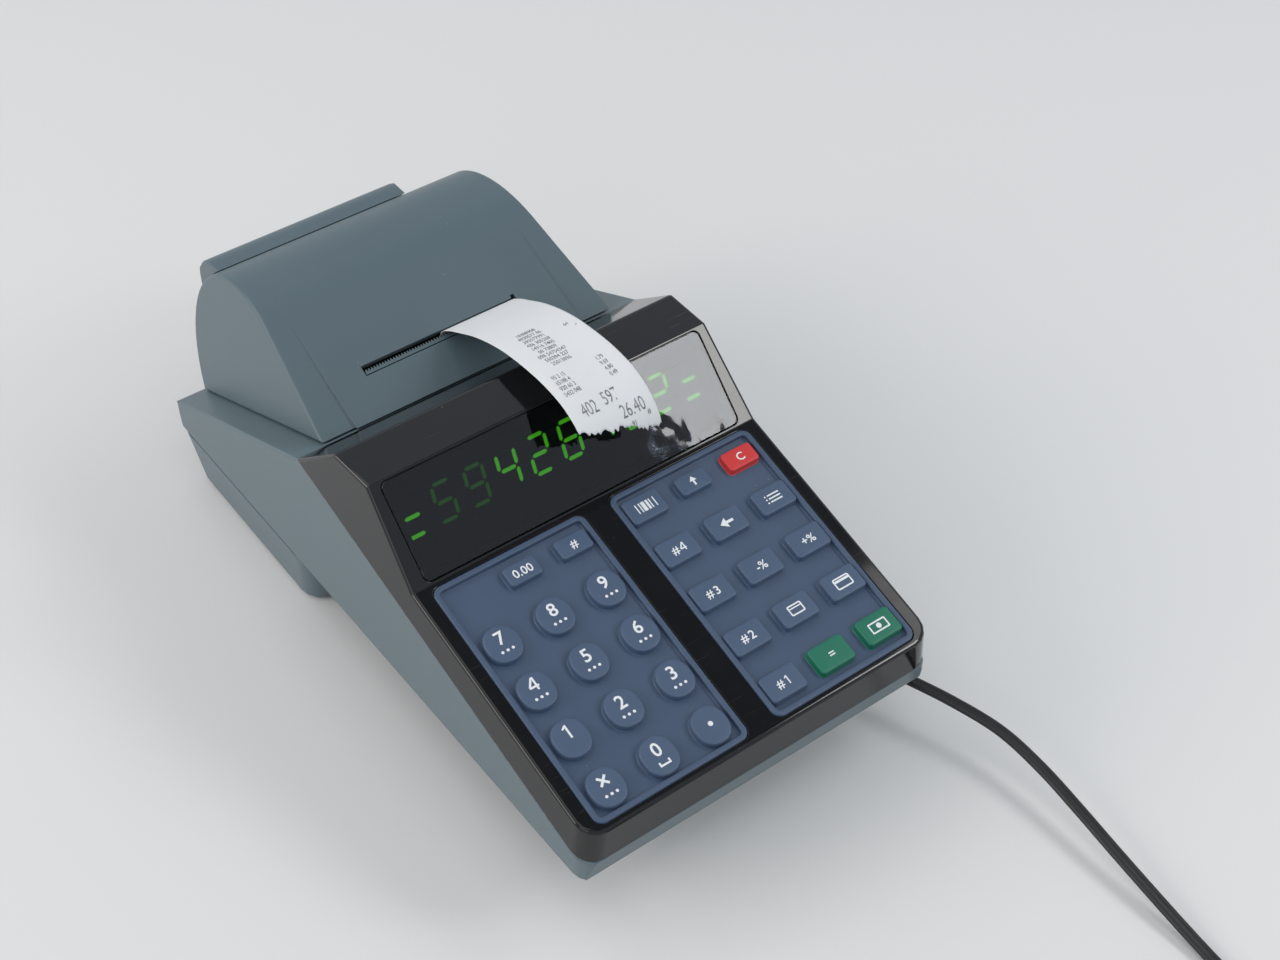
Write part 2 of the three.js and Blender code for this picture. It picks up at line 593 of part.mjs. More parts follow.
const keyboardFrame = slopeFrame(displayFoot, KEYBOARD_ANGLE);
const displayFrame = slopeFrame(displayFoot, DISPLAY_ANGLE);
const partingFrame = slopeFrame(partingFront, partingSlope);
const deckFrame = slopeFrame(shellRear, deckSlope);
const underFrame = slopeFrame(underFront, underSlope);

/** The inside of the top shell, or its outside with no inset: a drafted plan cut by the side profile. */
function shellBody(inset) {
  const inward = new THREE.Matrix4().copy(partingFrame).invert();
  const lean = new THREE.Vector3(0, ...frontEdge).applyMatrix4(inward);
  const leanShare = lean.y / lean.z;
  const reach = BODY_LENGTH;
  const low = inset > 0 ? -OVERRUN : 0;
  const high = hypot(ridge[0] - partingFront[0], ridge[1] - partingFront[1]);
  const ringOf = (w) => ringAt(planPoints(
    halfWidth - inset - SHELL_DRAFT_SHARE * w, leanShare * w + inset, reach,
    max(FRONT_CORNER - inset, SHELL_WALL), SHELL_WALL), w);
  const plan = solid(loft([ringOf(low), ringOf(high)]).applyMatrix4(partingFrame));
  const corners = [
    step(partingFront, -OVERRUN, partingSlope), shellRear, ridge, displayTop, displayFoot,
    step(frontEdge, -OVERRUN, KEYBOARD_ANGLE),
  ];
  const open = inset > 0 ? -OVERRUN : 0;
  const profile = inset > 0 ? insetPolygon(corners, [open, inset, inset, inset, inset, 0]) : corners;
  return plan.intersect(solid(alongX(outline(profile), -BODY_WIDTH, BODY_WIDTH)));
}

const windowHalfWidth = halfWidth - SHELL_DRAFT_SHARE * DISPLAY_LENGTH - SHELL_WALL - WINDOW_SIDE_MARGIN / 2;
const windowHeight = DISPLAY_LENGTH - 2 * WINDOW_END_MARGIN;

/** Post places on the shell's inner face, in the keyboard's and the display's own frames. */
const keyPosts = [0.17, 0.5, 0.83].map((share) => [0, -share * KEYBOARD_LENGTH]);
const modulePosts = [-1, 1].flatMap((side) => [-1, 1].map((end) => [
  side * (windowHalfWidth - WINDOW_LEDGE_WIDTH + POST_RADIUS),
  DISPLAY_LENGTH / 2 + end * (MODULE_BOARD_HEIGHT / 2 - POST_RADIUS),
]));
const boardTop = -MAT_SINK_DEPTH - KEY_SOCKET_DEPTH - KEY_TRAVEL + KEY_RISE - SEAM_GAP;
const moduleBoardTop = -MODULE_DEPTH - MODULE_BLOCK_THICKNESS;

/** A straight post under a face, from its underside down to a board. */
function post([x, y], bottom) {
  const shape = new THREE.Shape().absarc(x, y, POST_RADIUS, 0, 2 * PI, false);
  return upright(shape, bottom, SEAM_GAP - SHELL_WALL);
}

function topShell() {
  let body = shellBody(0).subtract(shellBody(SHELL_WALL));
  for (const side of [-1, 1]) {
    const opening = roundedRect(
      MAT_WIDTH + 2 * SEAM_GAP, MAT_LENGTH + 2 * SEAM_GAP, MAT_CORNER + SEAM_GAP,
      side * MAT_CENTRE_X, -MAT_TOP_MARGIN - MAT_LENGTH / 2);
    body = body.subtract(solid(upright(opening, -OVERRUN, OVERRUN).applyMatrix4(keyboardFrame)));
  }
  const middle = DISPLAY_LENGTH / 2;
  const seat = roundedRect(
    2 * (windowHalfWidth + SEAM_GAP), windowHeight + 2 * SEAM_GAP, WINDOW_LEDGE_WIDTH, 0, middle);
  body = body.subtract(solid(
    upright(seat, -WINDOW_THICKNESS, OVERRUN).applyMatrix4(displayFrame)));
  const sight = roundedRect(
    2 * (windowHalfWidth - WINDOW_LEDGE_WIDTH), windowHeight - 2 * WINDOW_LEDGE_WIDTH,
    WINDOW_LEDGE_WIDTH, 0, middle);
  body = body.subtract(solid(upright(sight, -SHELL_WALL - SEAM_GAP, OVERRUN).applyMatrix4(displayFrame)));
  for (const place of keyPosts) {
    body = body.add(solid(post(place, boardTop + SEAM_GAP).applyMatrix4(keyboardFrame)));
  }
  for (const place of modulePosts) {
    body = body.add(solid(post(place, moduleBoardTop + SEAM_GAP).applyMatrix4(displayFrame)));
  }
  return piece('top_shell', shapeOf(body), 'gloss');
}

function displayWindow() {
  const plate = roundedRect(2 * windowHalfWidth, windowHeight, WINDOW_LEDGE_WIDTH, 0, DISPLAY_LENGTH / 2);
  const geometry = upright(plate, SEAM_GAP - WINDOW_THICKNESS, 0).applyMatrix4(displayFrame);
  return piece('display_window', geometry, 'window');
}

function displayModule() {
  const middle = DISPLAY_LENGTH / 2;
  const digits = block(
    [-MODULE_BLOCK_WIDTH / 2, middle - MODULE_BLOCK_HEIGHT / 2, moduleBoardTop - BOARD_THICKNESS / 2],
    [MODULE_BLOCK_WIDTH / 2, middle + MODULE_BLOCK_HEIGHT / 2, -MODULE_DEPTH]);
  const board = block(
    [-MODULE_BOARD_WIDTH / 2, middle - MODULE_BOARD_HEIGHT / 2, moduleBoardTop - BOARD_THICKNESS],
    [MODULE_BOARD_WIDTH / 2, middle + MODULE_BOARD_HEIGHT / 2, moduleBoardTop]);
  const geometry = shapeOf(solid(digits).add(solid(board))).applyMatrix4(displayFrame);
  return piece('display_module', geometry, 'module');
}

// Keys: the kind and the place of each, by row from the display down and by column from the left
const KEYS = [
  { side: -1, row: 0, column: 0, name: 'key_price', kind: 'small' },
  { side: -1, row: 0, column: 1, name: 'key_item', kind: 'small' },
  { side: -1, row: 1, column: -1, name: 'key_7', kind: 'round' },
  { side: -1, row: 1, column: 0, name: 'key_8', kind: 'round' },
  { side: -1, row: 1, column: 1, name: 'key_9', kind: 'round' },
  { side: -1, row: 2, column: -1, name: 'key_4', kind: 'round' },
  { side: -1, row: 2, column: 0, name: 'key_5', kind: 'round' },
  { side: -1, row: 2, column: 1, name: 'key_6', kind: 'round' },
  { side: -1, row: 3, column: -1, name: 'key_1', kind: 'round' },
  { side: -1, row: 3, column: 0, name: 'key_2', kind: 'round' },
  { side: -1, row: 3, column: 1, name: 'key_3', kind: 'round' },
  { side: -1, row: 4, column: -1, name: 'key_times', kind: 'round' },
  { side: -1, row: 4, column: 0, name: 'key_0', kind: 'round' },
  { side: -1, row: 4, column: 1, name: 'key_point', kind: 'round' },
  { side: 1, row: 0, column: -1, name: 'key_code', kind: 'wide' },
  { side: 1, row: 0, column: 0, name: 'key_up', kind: 'small' },
  { side: 1, row: 0, column: 1, name: 'key_clear', kind: 'small', finish: 'clear_key' },
  { side: 1, row: 1, column: -1, name: 'key_item_4', kind: 'wide' },
  { side: 1, row: 1, column: 0, name: 'key_correct', kind: 'wide' },
  { side: 1, row: 1, column: 1, name: 'key_mode', kind: 'wide' },
  { side: 1, row: 2, column: -1, name: 'key_item_3', kind: 'wide' },
  { side: 1, row: 2, column: 0, name: 'key_discount', kind: 'wide' },
  { side: 1, row: 2, column: 1, name: 'key_surcharge', kind: 'wide' },
  { side: 1, row: 3, column: -1, name: 'key_item_2', kind: 'wide' },
  { side: 1, row: 3, column: 0, name: 'key_returns', kind: 'wide' },
  { side: 1, row: 3, column: 1, name: 'key_pay', kind: 'wide' },
  { side: 1, row: 4, column: -1, name: 'key_item_1', kind: 'wide' },
  { side: 1, row: 4, column: 0, name: 'key_subtotal', kind: 'wide', finish: 'total_key' },
  { side: 1, row: 4, column: 1, name: 'key_cash', kind: 'wide', finish: 'total_key' },
];

/** A key's place on the keyboard's face. */
function keyPlace({ side, row, column }) {
  return [side * MAT_CENTRE_X + column * KEY_COLUMN_PITCH, -KEY_FIRST_ROW_DISTANCE - row * KEY_ROW_PITCH];
}

/** A key's outline grown by some distance: a rounded rectangle, or an oval with flattened sides. */
function keyPoints(kind, grow, cx = 0, cy = 0) {
  if (kind === 'round') {
    const [a, b] = [ROUND_KEY_WIDTH / 2 + grow, ROUND_KEY_HEIGHT / 2 + grow];
    return Array.from({ length: ARC_STEPS }, (_, k) => {
      const [u, v] = [cos(2 * PI * k / ARC_STEPS), sin(2 * PI * k / ARC_STEPS)];
      const soft = (value) => Math.sign(value) * Math.abs(value) ** KEY_ROUNDNESS_SHARE;
      return [cx + a * soft(u), cy + b * soft(v)];
    });
  }
  const wide = kind === 'wide';
  const [width, height] = wide ? [WIDE_KEY_WIDTH, WIDE_KEY_HEIGHT] : [SMALL_KEY_WIDTH, SMALL_KEY_HEIGHT];
  return rectPoints(width + 2 * grow, height + 2 * grow, RECT_KEY_CORNER + grow, cx, cy);
}

function key(spec) {
  const [x, y] = keyPlace(spec);
  const geometry = loft([
    ringAt(keyPoints(spec.kind, 0), -MAT_SINK_DEPTH - KEY_SOCKET_DEPTH + KEY_RISE),
    ringAt(keyPoints(spec.kind, 0), KEY_RISE - KEY_CHAMFER),
    ringAt(keyPoints(spec.kind, -KEY_CHAMFER), KEY_RISE),
  ]);
  const mesh = piece(spec.name, geometry, spec.finish ?? 'key');
  mesh.position.set(x, y, 0);
  return mesh;
}

/** A silicone mat: sunk face, raised rim, side flanges under the shell, and a socket for each key. */
function keypadMat(side, name) {
  const centre = [side * MAT_CENTRE_X, -MAT_TOP_MARGIN - MAT_LENGTH / 2];
  const bottom = boardTop + SEAM_GAP;
  const face = roundedRect(MAT_WIDTH, MAT_LENGTH, MAT_CORNER, ...centre);
  const pan = roundedRect(
    MAT_WIDTH - 2 * MAT_RIM_WIDTH, MAT_LENGTH - 2 * MAT_RIM_WIDTH,
    MAT_CORNER - MAT_RIM_WIDTH / 2, ...centre);
  const flange = roundedRect(
    MAT_WIDTH + 2 * MAT_FLANGE_WIDTH, MAT_LENGTH - 2 * MAT_CORNER, MAT_FLANGE_WIDTH, ...centre);
  let body = solid(upright(face, bottom, MAT_RIM_RISE))
    .add(solid(upright(flange, bottom, -SHELL_WALL - SEAM_GAP)))
    .subtract(solid(upright(pan, -MAT_SINK_DEPTH, OVERRUN)));
  for (const spec of KEYS.filter((k) => k.side === side)) {
    const hole = outline(keyPoints(spec.kind, KEY_CLEARANCE, ...keyPlace(spec)));
    body = body.subtract(solid(upright(hole, bottom - OVERRUN, OVERRUN)));
  }
  return piece(name, shapeOf(body), 'mat');
}

function keyboardBoard() {
  const centre = -KEYBOARD_LENGTH / 2;
  return piece('keyboard_board', block(
    [-KEY_BOARD_WIDTH / 2, centre - KEY_BOARD_LENGTH / 2, boardTop - BOARD_THICKNESS],
    [KEY_BOARD_WIDTH / 2, centre + KEY_BOARD_LENGTH / 2, boardTop]), 'board');
}

/** The keyboard's pieces, in a group that lies on the keyboard's slope. */
function keyboard() {
  const group = new THREE.Group();
  group.position.set(0, ...displayFoot);
  group.rotation.x = radians(KEYBOARD_ANGLE);
  group.add(keypadMat(-1, 'keypad_mat_left'), keypadMat(1, 'keypad_mat_right'), keyboardBoard());
  KEYS.forEach((spec) => group.add(key(spec)));
  return group;
}

// The hinge's axis, in (y, z), and its knuckles along X
const hingeY = BODY_REAR - HINGE_SETBACK;
const hingeZ = deckHeight(hingeY) + HINGE_RISE;
const coverKnuckle = KNUCKLE_INNER_DISTANCE;
const caseKnuckle = KNUCKLE_INNER_DISTANCE + KNUCKLE_WIDTH + SEAM_GAP;

/** Knuckles on both sides: a barrel and its web, from a foot at the given (y, z). */
function knuckles(inner, web) {
  const shape = outline(web);
  return [-1, 1].map((side) => {
    const [from, to] = side > 0 ? [inner, inner + KNUCKLE_WIDTH] : [-inner - KNUCKLE_WIDTH, -inner];
    return solid(alongX(shape, from, to)).add(solid(barX(hingeY, hingeZ, KNUCKLE_RADIUS, from, to)));
  });
}

function hingeBore() {
  return solid(barX(hingeY, hingeZ, HINGE_PIN_RADIUS + RUNNING_CLEARANCE, -BODY_WIDTH, BODY_WIDTH));
}

function housing() {
  const half = halfWidth;
  const start = slopeOf(deckCorner, underRear);
  const shape = outline([underFront, underRear]);
  shape.lineTo(...step(deckCorner, LIP_ROUNDING, start));
  shape.quadraticCurveTo(...deckCorner, ...step(deckCorner, -LIP_ROUNDING, deckSlope));
  shape.lineTo(shellRear[0], shellRear[1] - SEAM_GAP);
  shape.lineTo(partingFront[0], partingFront[1] - SEAM_GAP);
  const plan = casePlan(half, BODY_FRONT, BODY_REAR, FRONT_CORNER, REAR_CORNER);
  const outer = solid(alongX(shape, -BODY_WIDTH, BODY_WIDTH))
    .intersect(solid(upright(plan, 0, BODY_LENGTH)));
  const wall = HOUSING_WALL;
  const room = insetPolygon(
    [underFront, underRear, deckCorner, shellRear, partingFront], [-OVERRUN, wall, wall, -OVERRUN, wall]);
  const inner = casePlan(
    half - wall, BODY_FRONT + wall, BODY_REAR - wall, FRONT_CORNER - wall, REAR_CORNER - wall);
  const cavity = solid(alongX(outline(room), -BODY_WIDTH, BODY_WIDTH))
    .intersect(solid(upright(inner, -OVERRUN, BODY_LENGTH)));
  const well = block(
    [-WELL_WIDTH / 2, shellRear[0] + DECK_BAR_WIDTH, UNDERSIDE_REAR_HEIGHT],
    [WELL_WIDTH / 2, BODY_REAR - WELL_REAR_SETBACK, BODY_LENGTH]);
  const foot = hingeZ - HINGE_RISE - HOUSING_WALL;
  const web = [
    [hingeY - KNUCKLE_RADIUS, foot], [hingeY + KNUCKLE_RADIUS - SEAM_GAP, foot],
    [hingeY + KNUCKLE_RADIUS - SEAM_GAP, hingeZ], [hingeY - KNUCKLE_RADIUS, hingeZ],
  ];
  const body = joined(outer.subtract(cavity).subtract(solid(well)), ...knuckles(caseKnuckle, web))
    .subtract(hingeBore());
  return piece('housing', shapeOf(body), 'housing');
}

function baseTray() {
  const rear = BODY_REAR - BLOCK_REAR_SETBACK;
  const front = BODY_REAR - BLOCK_DEPTH;
  const top = UNDERSIDE_FRONT_HEIGHT;
  const blockPlan = (inset, height) => {
    const share = min((height - PAD_STAND_HEIGHT) / (UNDERSIDE_REAR_HEIGHT - PAD_STAND_HEIGHT), 1);
    const side = halfWidth - BLOCK_SIDE_TUCK * (1 - share) - inset;
    const back = rear + (BLOCK_REAR_SETBACK - REAR_TUCK) * share - inset;
    const face = front - BLOCK_FRONT_TUCK * share + inset;
    const corner = max(BLOCK_CORNER - inset, TRAY_WALL);
    return ringAt(planPoints(side, face, back, corner, max(REAR_CORNER - inset, TRAY_WALL / 2)), height);
  };
  const floor = PAD_STAND_HEIGHT + TRAY_FLOOR;
  const drafted = (inset, heights) => solid(loft(heights.map((height) => blockPlan(inset, height))));
  const outer = drafted(0, [PAD_STAND_HEIGHT, UNDERSIDE_REAR_HEIGHT, top]);
  const hollow = drafted(TRAY_WALL, [floor, UNDERSIDE_REAR_HEIGHT, top + OVERRUN]);
  const below = outline(insetPolygon([
    underFront, underRear, [BODY_REAR + OVERRUN, -OVERRUN], [BODY_FRONT - OVERRUN, -OVERRUN]].reverse(),
  [0, 0, SEAM_GAP, 0]));
  const body = outer.intersect(solid(alongX(below, -BODY_WIDTH, BODY_WIDTH))).subtract(hollow);
  const slabHalf = halfWidth - HOUSING_WALL - SEAM_GAP;
  const slabFront = innerFront + SEAM_GAP;
  const slabRear = innerRear - SEAM_GAP;
  const slabPlan = casePlan(
    slabHalf, slabFront, slabRear, FRONT_CORNER - HOUSING_WALL, REAR_CORNER - HOUSING_WALL);
  const slabShape = outline([
    [BODY_FRONT, underHeight(BODY_FRONT)], [BODY_REAR, underHeight(BODY_REAR)],
    [BODY_REAR, underHeight(BODY_REAR) + TRAY_FLOOR], [BODY_FRONT, underHeight(BODY_FRONT) + TRAY_FLOOR],
  ]);
  const slab = solid(alongX(slabShape, -BODY_WIDTH, BODY_WIDTH))
    .intersect(solid(upright(slabPlan, 0, BODY_LENGTH)));
  const rimPlan = casePlan(slabHalf, front - TRAY_WALL, slabRear, TRAY_WALL, REAR_CORNER - HOUSING_WALL);
  const rimShape = outline([
    [front - TRAY_WALL, underHeight(front) - SEAM_GAP - TRAY_WALL],
    [BODY_REAR, underHeight(BODY_REAR) - SEAM_GAP - TRAY_WALL],
    [BODY_REAR, underHeight(BODY_REAR) + TRAY_RIM], [front - TRAY_WALL, underHeight(front) + TRAY_RIM],
  ]);
  const rim = solid(alongX(rimShape, -BODY_WIDTH, BODY_WIDTH))
    .intersect(solid(upright(rimPlan, 0, BODY_LENGTH)));
  const throatPlan = casePlan(
    slabHalf - TRAY_WALL, front + TRAY_WALL, slabRear - TRAY_WALL, BLOCK_CORNER - TRAY_WALL, TRAY_WALL / 2);
  const throat = solid(upright(throatPlan, floor, BODY_LENGTH));
  const footY = BODY_FRONT + FRONT_FOOT_INSET;
  const footRing = (grow, height) => ringAt(
    rectPoints(FOOT_WIDTH + 2 * grow, FOOT_DEPTH + 2 * grow, FOOT_DEPTH / 3, 0, footY), height);
  const foot = solid(loft([
    footRing(0, PAD_STAND_HEIGHT), footRing(FOOT_TAPER, underHeight(footY) + TRAY_FLOOR / 2)]));
  const pads = padSpecs().map(([plan]) => solid(upright(
    plan(SEAM_GAP), 0, PAD_STAND_HEIGHT + PAD_SINK_DEPTH + SEAM_GAP)));
  const socket = new THREE.CylinderGeometry(
    PLUG_BARREL_RADIUS + RUNNING_CLEARANCE, PLUG_BARREL_RADIUS + RUNNING_CLEARANCE,
    2 * (TRAY_WALL + BLOCK_FRONT_TUCK), SMALL_ROUND_STEPS)
    .translate(PLUG_X, front, PLUG_HEIGHT);
  const posts = boardPosts().map(([x, y]) => {
    const shape = new THREE.Shape().absarc(x, y, POST_RADIUS, 0, 2 * PI, false);
    return solid(upright(
      shape, TRAY_FLOOR / 2, TRAY_FLOOR + MAIN_BOARD_STAND - SEAM_GAP).applyMatrix4(underFrame));
  });
  let tray = joined(body, slab, rim.subtract(throat)).subtract(throat);
  tray = joined(tray, foot, ...posts);
  pads.forEach((pad) => { tray = tray.subtract(pad); });
  return piece('base_tray', shapeOf(tray.subtract(solid(socket))), 'tray');
}

/** The two rubber pads: each plan, grown by some distance, and its name. */
function padSpecs() {
  const rearY = BODY_REAR - BLOCK_REAR_SETBACK - REAR_PAD_INSET - PAD_DEPTH / 2;
  const frontY = BODY_FRONT + FRONT_FOOT_INSET;
  const plan = (width, y) => (grow) => roundedRect(
    width + 2 * grow, PAD_DEPTH + 2 * grow, PAD_DEPTH / 3 + grow, 0, y);
  return [[plan(REAR_PAD_WIDTH, rearY), 'rear_pad'], [plan(FRONT_PAD_WIDTH, frontY), 'front_pad']];
}

function pads() {
  return padSpecs().map(([plan, name]) => piece(
    name, upright(plan(0), 0, PAD_STAND_HEIGHT + PAD_SINK_DEPTH), 'rubber'));
}

// The dome's side view: its front slope touches the round crest
const domeCentre = [BODY_REAR - DOME_RADIUS, shellRear[1] - DOME_DROP_SHARE * DOME_RADIUS];
const domeFootY = shellRear[0] + DOME_FRONT_STEP;
const domeFoot = [domeFootY, deckHeight(domeFootY) + SEAM_GAP];
const domeReach = hypot(domeFoot[0] - domeCentre[0], domeFoot[1] - domeCentre[1]);
const domeSlope = slopeOf(domeFoot, domeCentre)
  + THREE.MathUtils.radToDeg(Math.asin(DOME_RADIUS / domeReach));
const domeTouch = step(domeFoot, sqrt(domeReach ** 2 - DOME_RADIUS ** 2), domeSlope);
const coverFrame = slopeFrame(domeFoot, domeSlope);

/** The dome's side profile at an inset: its front slope may sink, and it runs on below the deck. */
function domeProfile(inset, sink) {
  const normal = radians(domeSlope + RIGHT_ANGLE);
  const shift = ([y, z], distance) => [y - distance * cos(normal), z - distance * sin(normal)];
  const [foot, touch] = [shift(domeFoot, inset + sink), shift(domeTouch, inset)];
  const shape = new THREE.Shape();
  shape.absarc(...domeCentre, DOME_RADIUS - inset, -radians(DOME_TUCK_ANGLE), normal, false);
  shape.lineTo(...touch);
  shape.lineTo(...step(foot, -OVERRUN, slopeOf(foot, touch)));
  return shape;
}

/** The room over the deck's line, by a gap. */
function aboveDeck(gap) {
  const lift = gap / cos(radians(deckSlope));
  const [near, far] = [-BODY_LENGTH, BODY_LENGTH];
  return solid(alongX(outline([
    [near, deckHeight(near) + lift], [far, deckHeight(far) + lift],
    [far, 2 * BODY_LENGTH], [near, 2 * BODY_LENGTH],
  ]), -BODY_WIDTH, BODY_WIDTH));
}

/** The dome's drafted width, in the deck's frame. */
function domePlan(inset) {
  const ringOf = (w) => {
    const half = DOME_HALF_WIDTH - inset - DOME_DRAFT_SHARE * w;
    return [[-half, -OVERRUN], [half, -OVERRUN], [half, BODY_LENGTH], [-half, BODY_LENGTH]]
      .map(([x, y]) => new THREE.Vector3(x, y, w));
  };
  return solid(loft([ringOf(-OVERRUN), ringOf(2 * DOME_RADIUS)]).applyMatrix4(deckFrame));
}

function printerCover() {
  const strips = solid(alongX(domeProfile(0, PANEL_SINK_DEPTH), -BODY_WIDTH, BODY_WIDTH));
  const panel = solid(alongX(domeProfile(0, 0), -PANEL_HALF_WIDTH, PANEL_HALF_WIDTH));
  const outer = strips.add(panel).intersect(domePlan(0)).intersect(aboveDeck(SEAM_GAP));
  const inner = solid(alongX(domeProfile(DOME_WALL, 0), -BODY_WIDTH, BODY_WIDTH))
    .intersect(domePlan(DOME_WALL));
  const comb = COMB_BACK_DEPTH + SEAM_GAP;
  const slot = block(
    [SLOT_CENTRE_X - SLOT_LENGTH / 2, SLOT_DISTANCE, -OVERRUN],
    [SLOT_CENTRE_X + SLOT_LENGTH / 2, SLOT_DISTANCE + comb + SLOT_WIDTH, OVERRUN]).applyMatrix4(coverFrame);
  const notch = block(
    [SLOT_CENTRE_X + SLOT_LENGTH / 2 - NOTCH_WIDTH, SLOT_DISTANCE + comb, -OVERRUN],
    [SLOT_CENTRE_X + SLOT_LENGTH / 2, SLOT_DISTANCE + comb + SLOT_WIDTH + NOTCH_RISE, OVERRUN])
    .applyMatrix4(coverFrame);
  const reach = hypot(hingeY - domeCentre[0], hingeZ - domeCentre[1]);
  const root = [domeCentre[0], domeCentre[1]].map((value, k) => {
    const toward = ([hingeY, hingeZ][k] - value) / reach;
    return value + toward * (DOME_RADIUS - DOME_WALL / 2);
  });
  const web = [
    [root[0], root[1] - KNUCKLE_RADIUS * HALF_SHARE], [hingeY, hingeZ - KNUCKLE_RADIUS * HALF_SHARE],
    [hingeY, hingeZ + KNUCKLE_RADIUS], [root[0], root[1] + 2 * KNUCKLE_RADIUS],
  ];
  const body = joined(outer.subtract(inner).subtract(solid(slot)).subtract(solid(notch)),
    ...knuckles(coverKnuckle, web)).subtract(hingeBore());
  const room = KNUCKLE_RADIUS + 2 * SEAM_GAP;
  const relief = [-1, 1].map((side) => {
    const edges = [side * (caseKnuckle - SEAM_GAP), side * (caseKnuckle + KNUCKLE_WIDTH + SEAM_GAP)];
    const [from, to] = edges.sort((a, b) => a - b);
    return solid(barX(hingeY, hingeZ, room, from, to)).add(solid(block(
      [from, hingeY - room, 0], [to, hingeY + room, hingeZ])));
  });
  const cleared = relief.reduce((whole, cut) => whole.subtract(cut), body);
  return piece('printer_cover', shapeOf(cleared), 'cover');
}

/** The moulded comb that tears the paper: its teeth cross the slot, flush with the cover's face. */
function tearBar() {
  const reach = SLOT_LENGTH / 2 - SEAM_GAP;
  const [left, right] = [SLOT_CENTRE_X - reach, SLOT_CENTRE_X + reach];
  const [foot, crown] = [SLOT_DISTANCE + SEAM_GAP, SLOT_DISTANCE + SEAM_GAP + COMB_BACK_DEPTH];
  const count = round((right - left) / COMB_PITCH);
  const pitch = (right - left) / count;
  const points = [[right, foot]];
  for (let k = count; k > 0; k -= 1) {
    points.push([left + k * pitch, crown], [left + (k - HALF_SHARE) * pitch, crown + COMB_TOOTH_HEIGHT]);
  }
  points.push([left, crown], [left, foot]);
  const comb = upright(outline(points), -DOME_WALL - SEAM_GAP - COMB_FLANGE_THICKNESS / 2, 0);
  const flange = block(
    [left, foot - COMB_FLANGE_DEPTH, -DOME_WALL - SEAM_GAP - COMB_FLANGE_THICKNESS],
    [right, crown, -DOME_WALL - SEAM_GAP]);
  const geometry = shapeOf(solid(comb).add(solid(flange))).applyMatrix4(coverFrame);
  return piece('tear_bar', geometry, 'cover');
}

function hingePin() {
  const reach = caseKnuckle + KNUCKLE_WIDTH + SEAM_GAP;
  return piece('hinge_pin', barX(hingeY, hingeZ, HINGE_PIN_RADIUS, -reach, reach), 'steel');
}

// The pod's lowest and highest places, up from the dome's centre
const podBottom = domeCentre[1] + POD_BOTTOM_SHARE * DOME_RADIUS;
const podTop = domeCentre[1] + POD_TOP_SHARE * DOME_RADIUS;

/** The pod's side view with its rounded rear top, at an inset. */
function podProfile(inset) {
  const [rear, top, bottom] = [BODY_REAR - inset, podTop - inset, podBottom + inset];
  const front = domeCentre[0];
  const [corner, heel] = [POD_TOP_RADIUS - inset, POD_HEEL_RADIUS - inset];
  const shape = new THREE.Shape();
  shape.moveTo(front, bottom);
  shape.lineTo(rear - heel, bottom);
  shape.absarc(rear - heel, bottom + heel, heel, -PI / 2, 0, false);
  shape.lineTo(rear, top - corner);
  shape.absarc(rear - corner, top - corner, corner, 0, PI / 2, false);
  shape.lineTo(front, top);
  return shape;
}

// The window starts where the dome behind it leaves room for its thickness
const podWindowFoot = domeCentre[1]
  + sqrt(DOME_RADIUS ** 2 - (DOME_RADIUS - POD_WINDOW_THICKNESS - 2 * SEAM_GAP) ** 2);
const podWindowHeight = podTop - POD_TOP_RADIUS - POD_WINDOW_MARGIN - podWindowFoot;
const podWindowZ = podWindowFoot + podWindowHeight / 2;

function customerPod() {
  const height = podTop - podBottom;
  const frontView = (inset) => roundedRect(
    POD_WIDTH - 2 * inset, height - 2 * inset, POD_END_RADIUS, POD_CENTRE_X, (podTop + podBottom) / 2);
  const hull = (inset) => solid(alongX(podProfile(inset), -BODY_WIDTH, BODY_WIDTH))
    .intersect(solid(alongY(frontView(inset), 0, BODY_LENGTH)));
  const dome = barX(...domeCentre, DOME_RADIUS + SEAM_GAP, -BODY_WIDTH, BODY_WIDTH, 4 * ARC_STEPS);
  const seat = alongY(roundedRect(
    POD_WINDOW_WIDTH + 2 * SEAM_GAP, podWindowHeight + 2 * SEAM_GAP, POD_LEDGE_WIDTH,
    POD_CENTRE_X, podWindowZ),
  BODY_REAR - POD_WINDOW_THICKNESS, BODY_LENGTH);
  const sight = alongY(roundedRect(
    POD_WINDOW_WIDTH - 2 * POD_LEDGE_WIDTH, podWindowHeight - 2 * POD_LEDGE_WIDTH, POD_LEDGE_WIDTH,
    POD_CENTRE_X, podWindowZ),
  BODY_REAR - 2 * POD_WALL, BODY_LENGTH);
  const body = hull(0).subtract(hull(POD_WALL)).subtract(solid(dome))
    .subtract(solid(seat)).subtract(solid(sight));
  return piece('customer_pod', shapeOf(body), 'cover');
}

function customerWindow() {
  const plate = roundedRect(POD_WINDOW_WIDTH, podWindowHeight, POD_LEDGE_WIDTH, POD_CENTRE_X, podWindowZ);
  const geometry = alongY(plate, BODY_REAR - POD_WINDOW_THICKNESS + SEAM_GAP, BODY_REAR);
  return piece('customer_window', geometry, 'window');
}

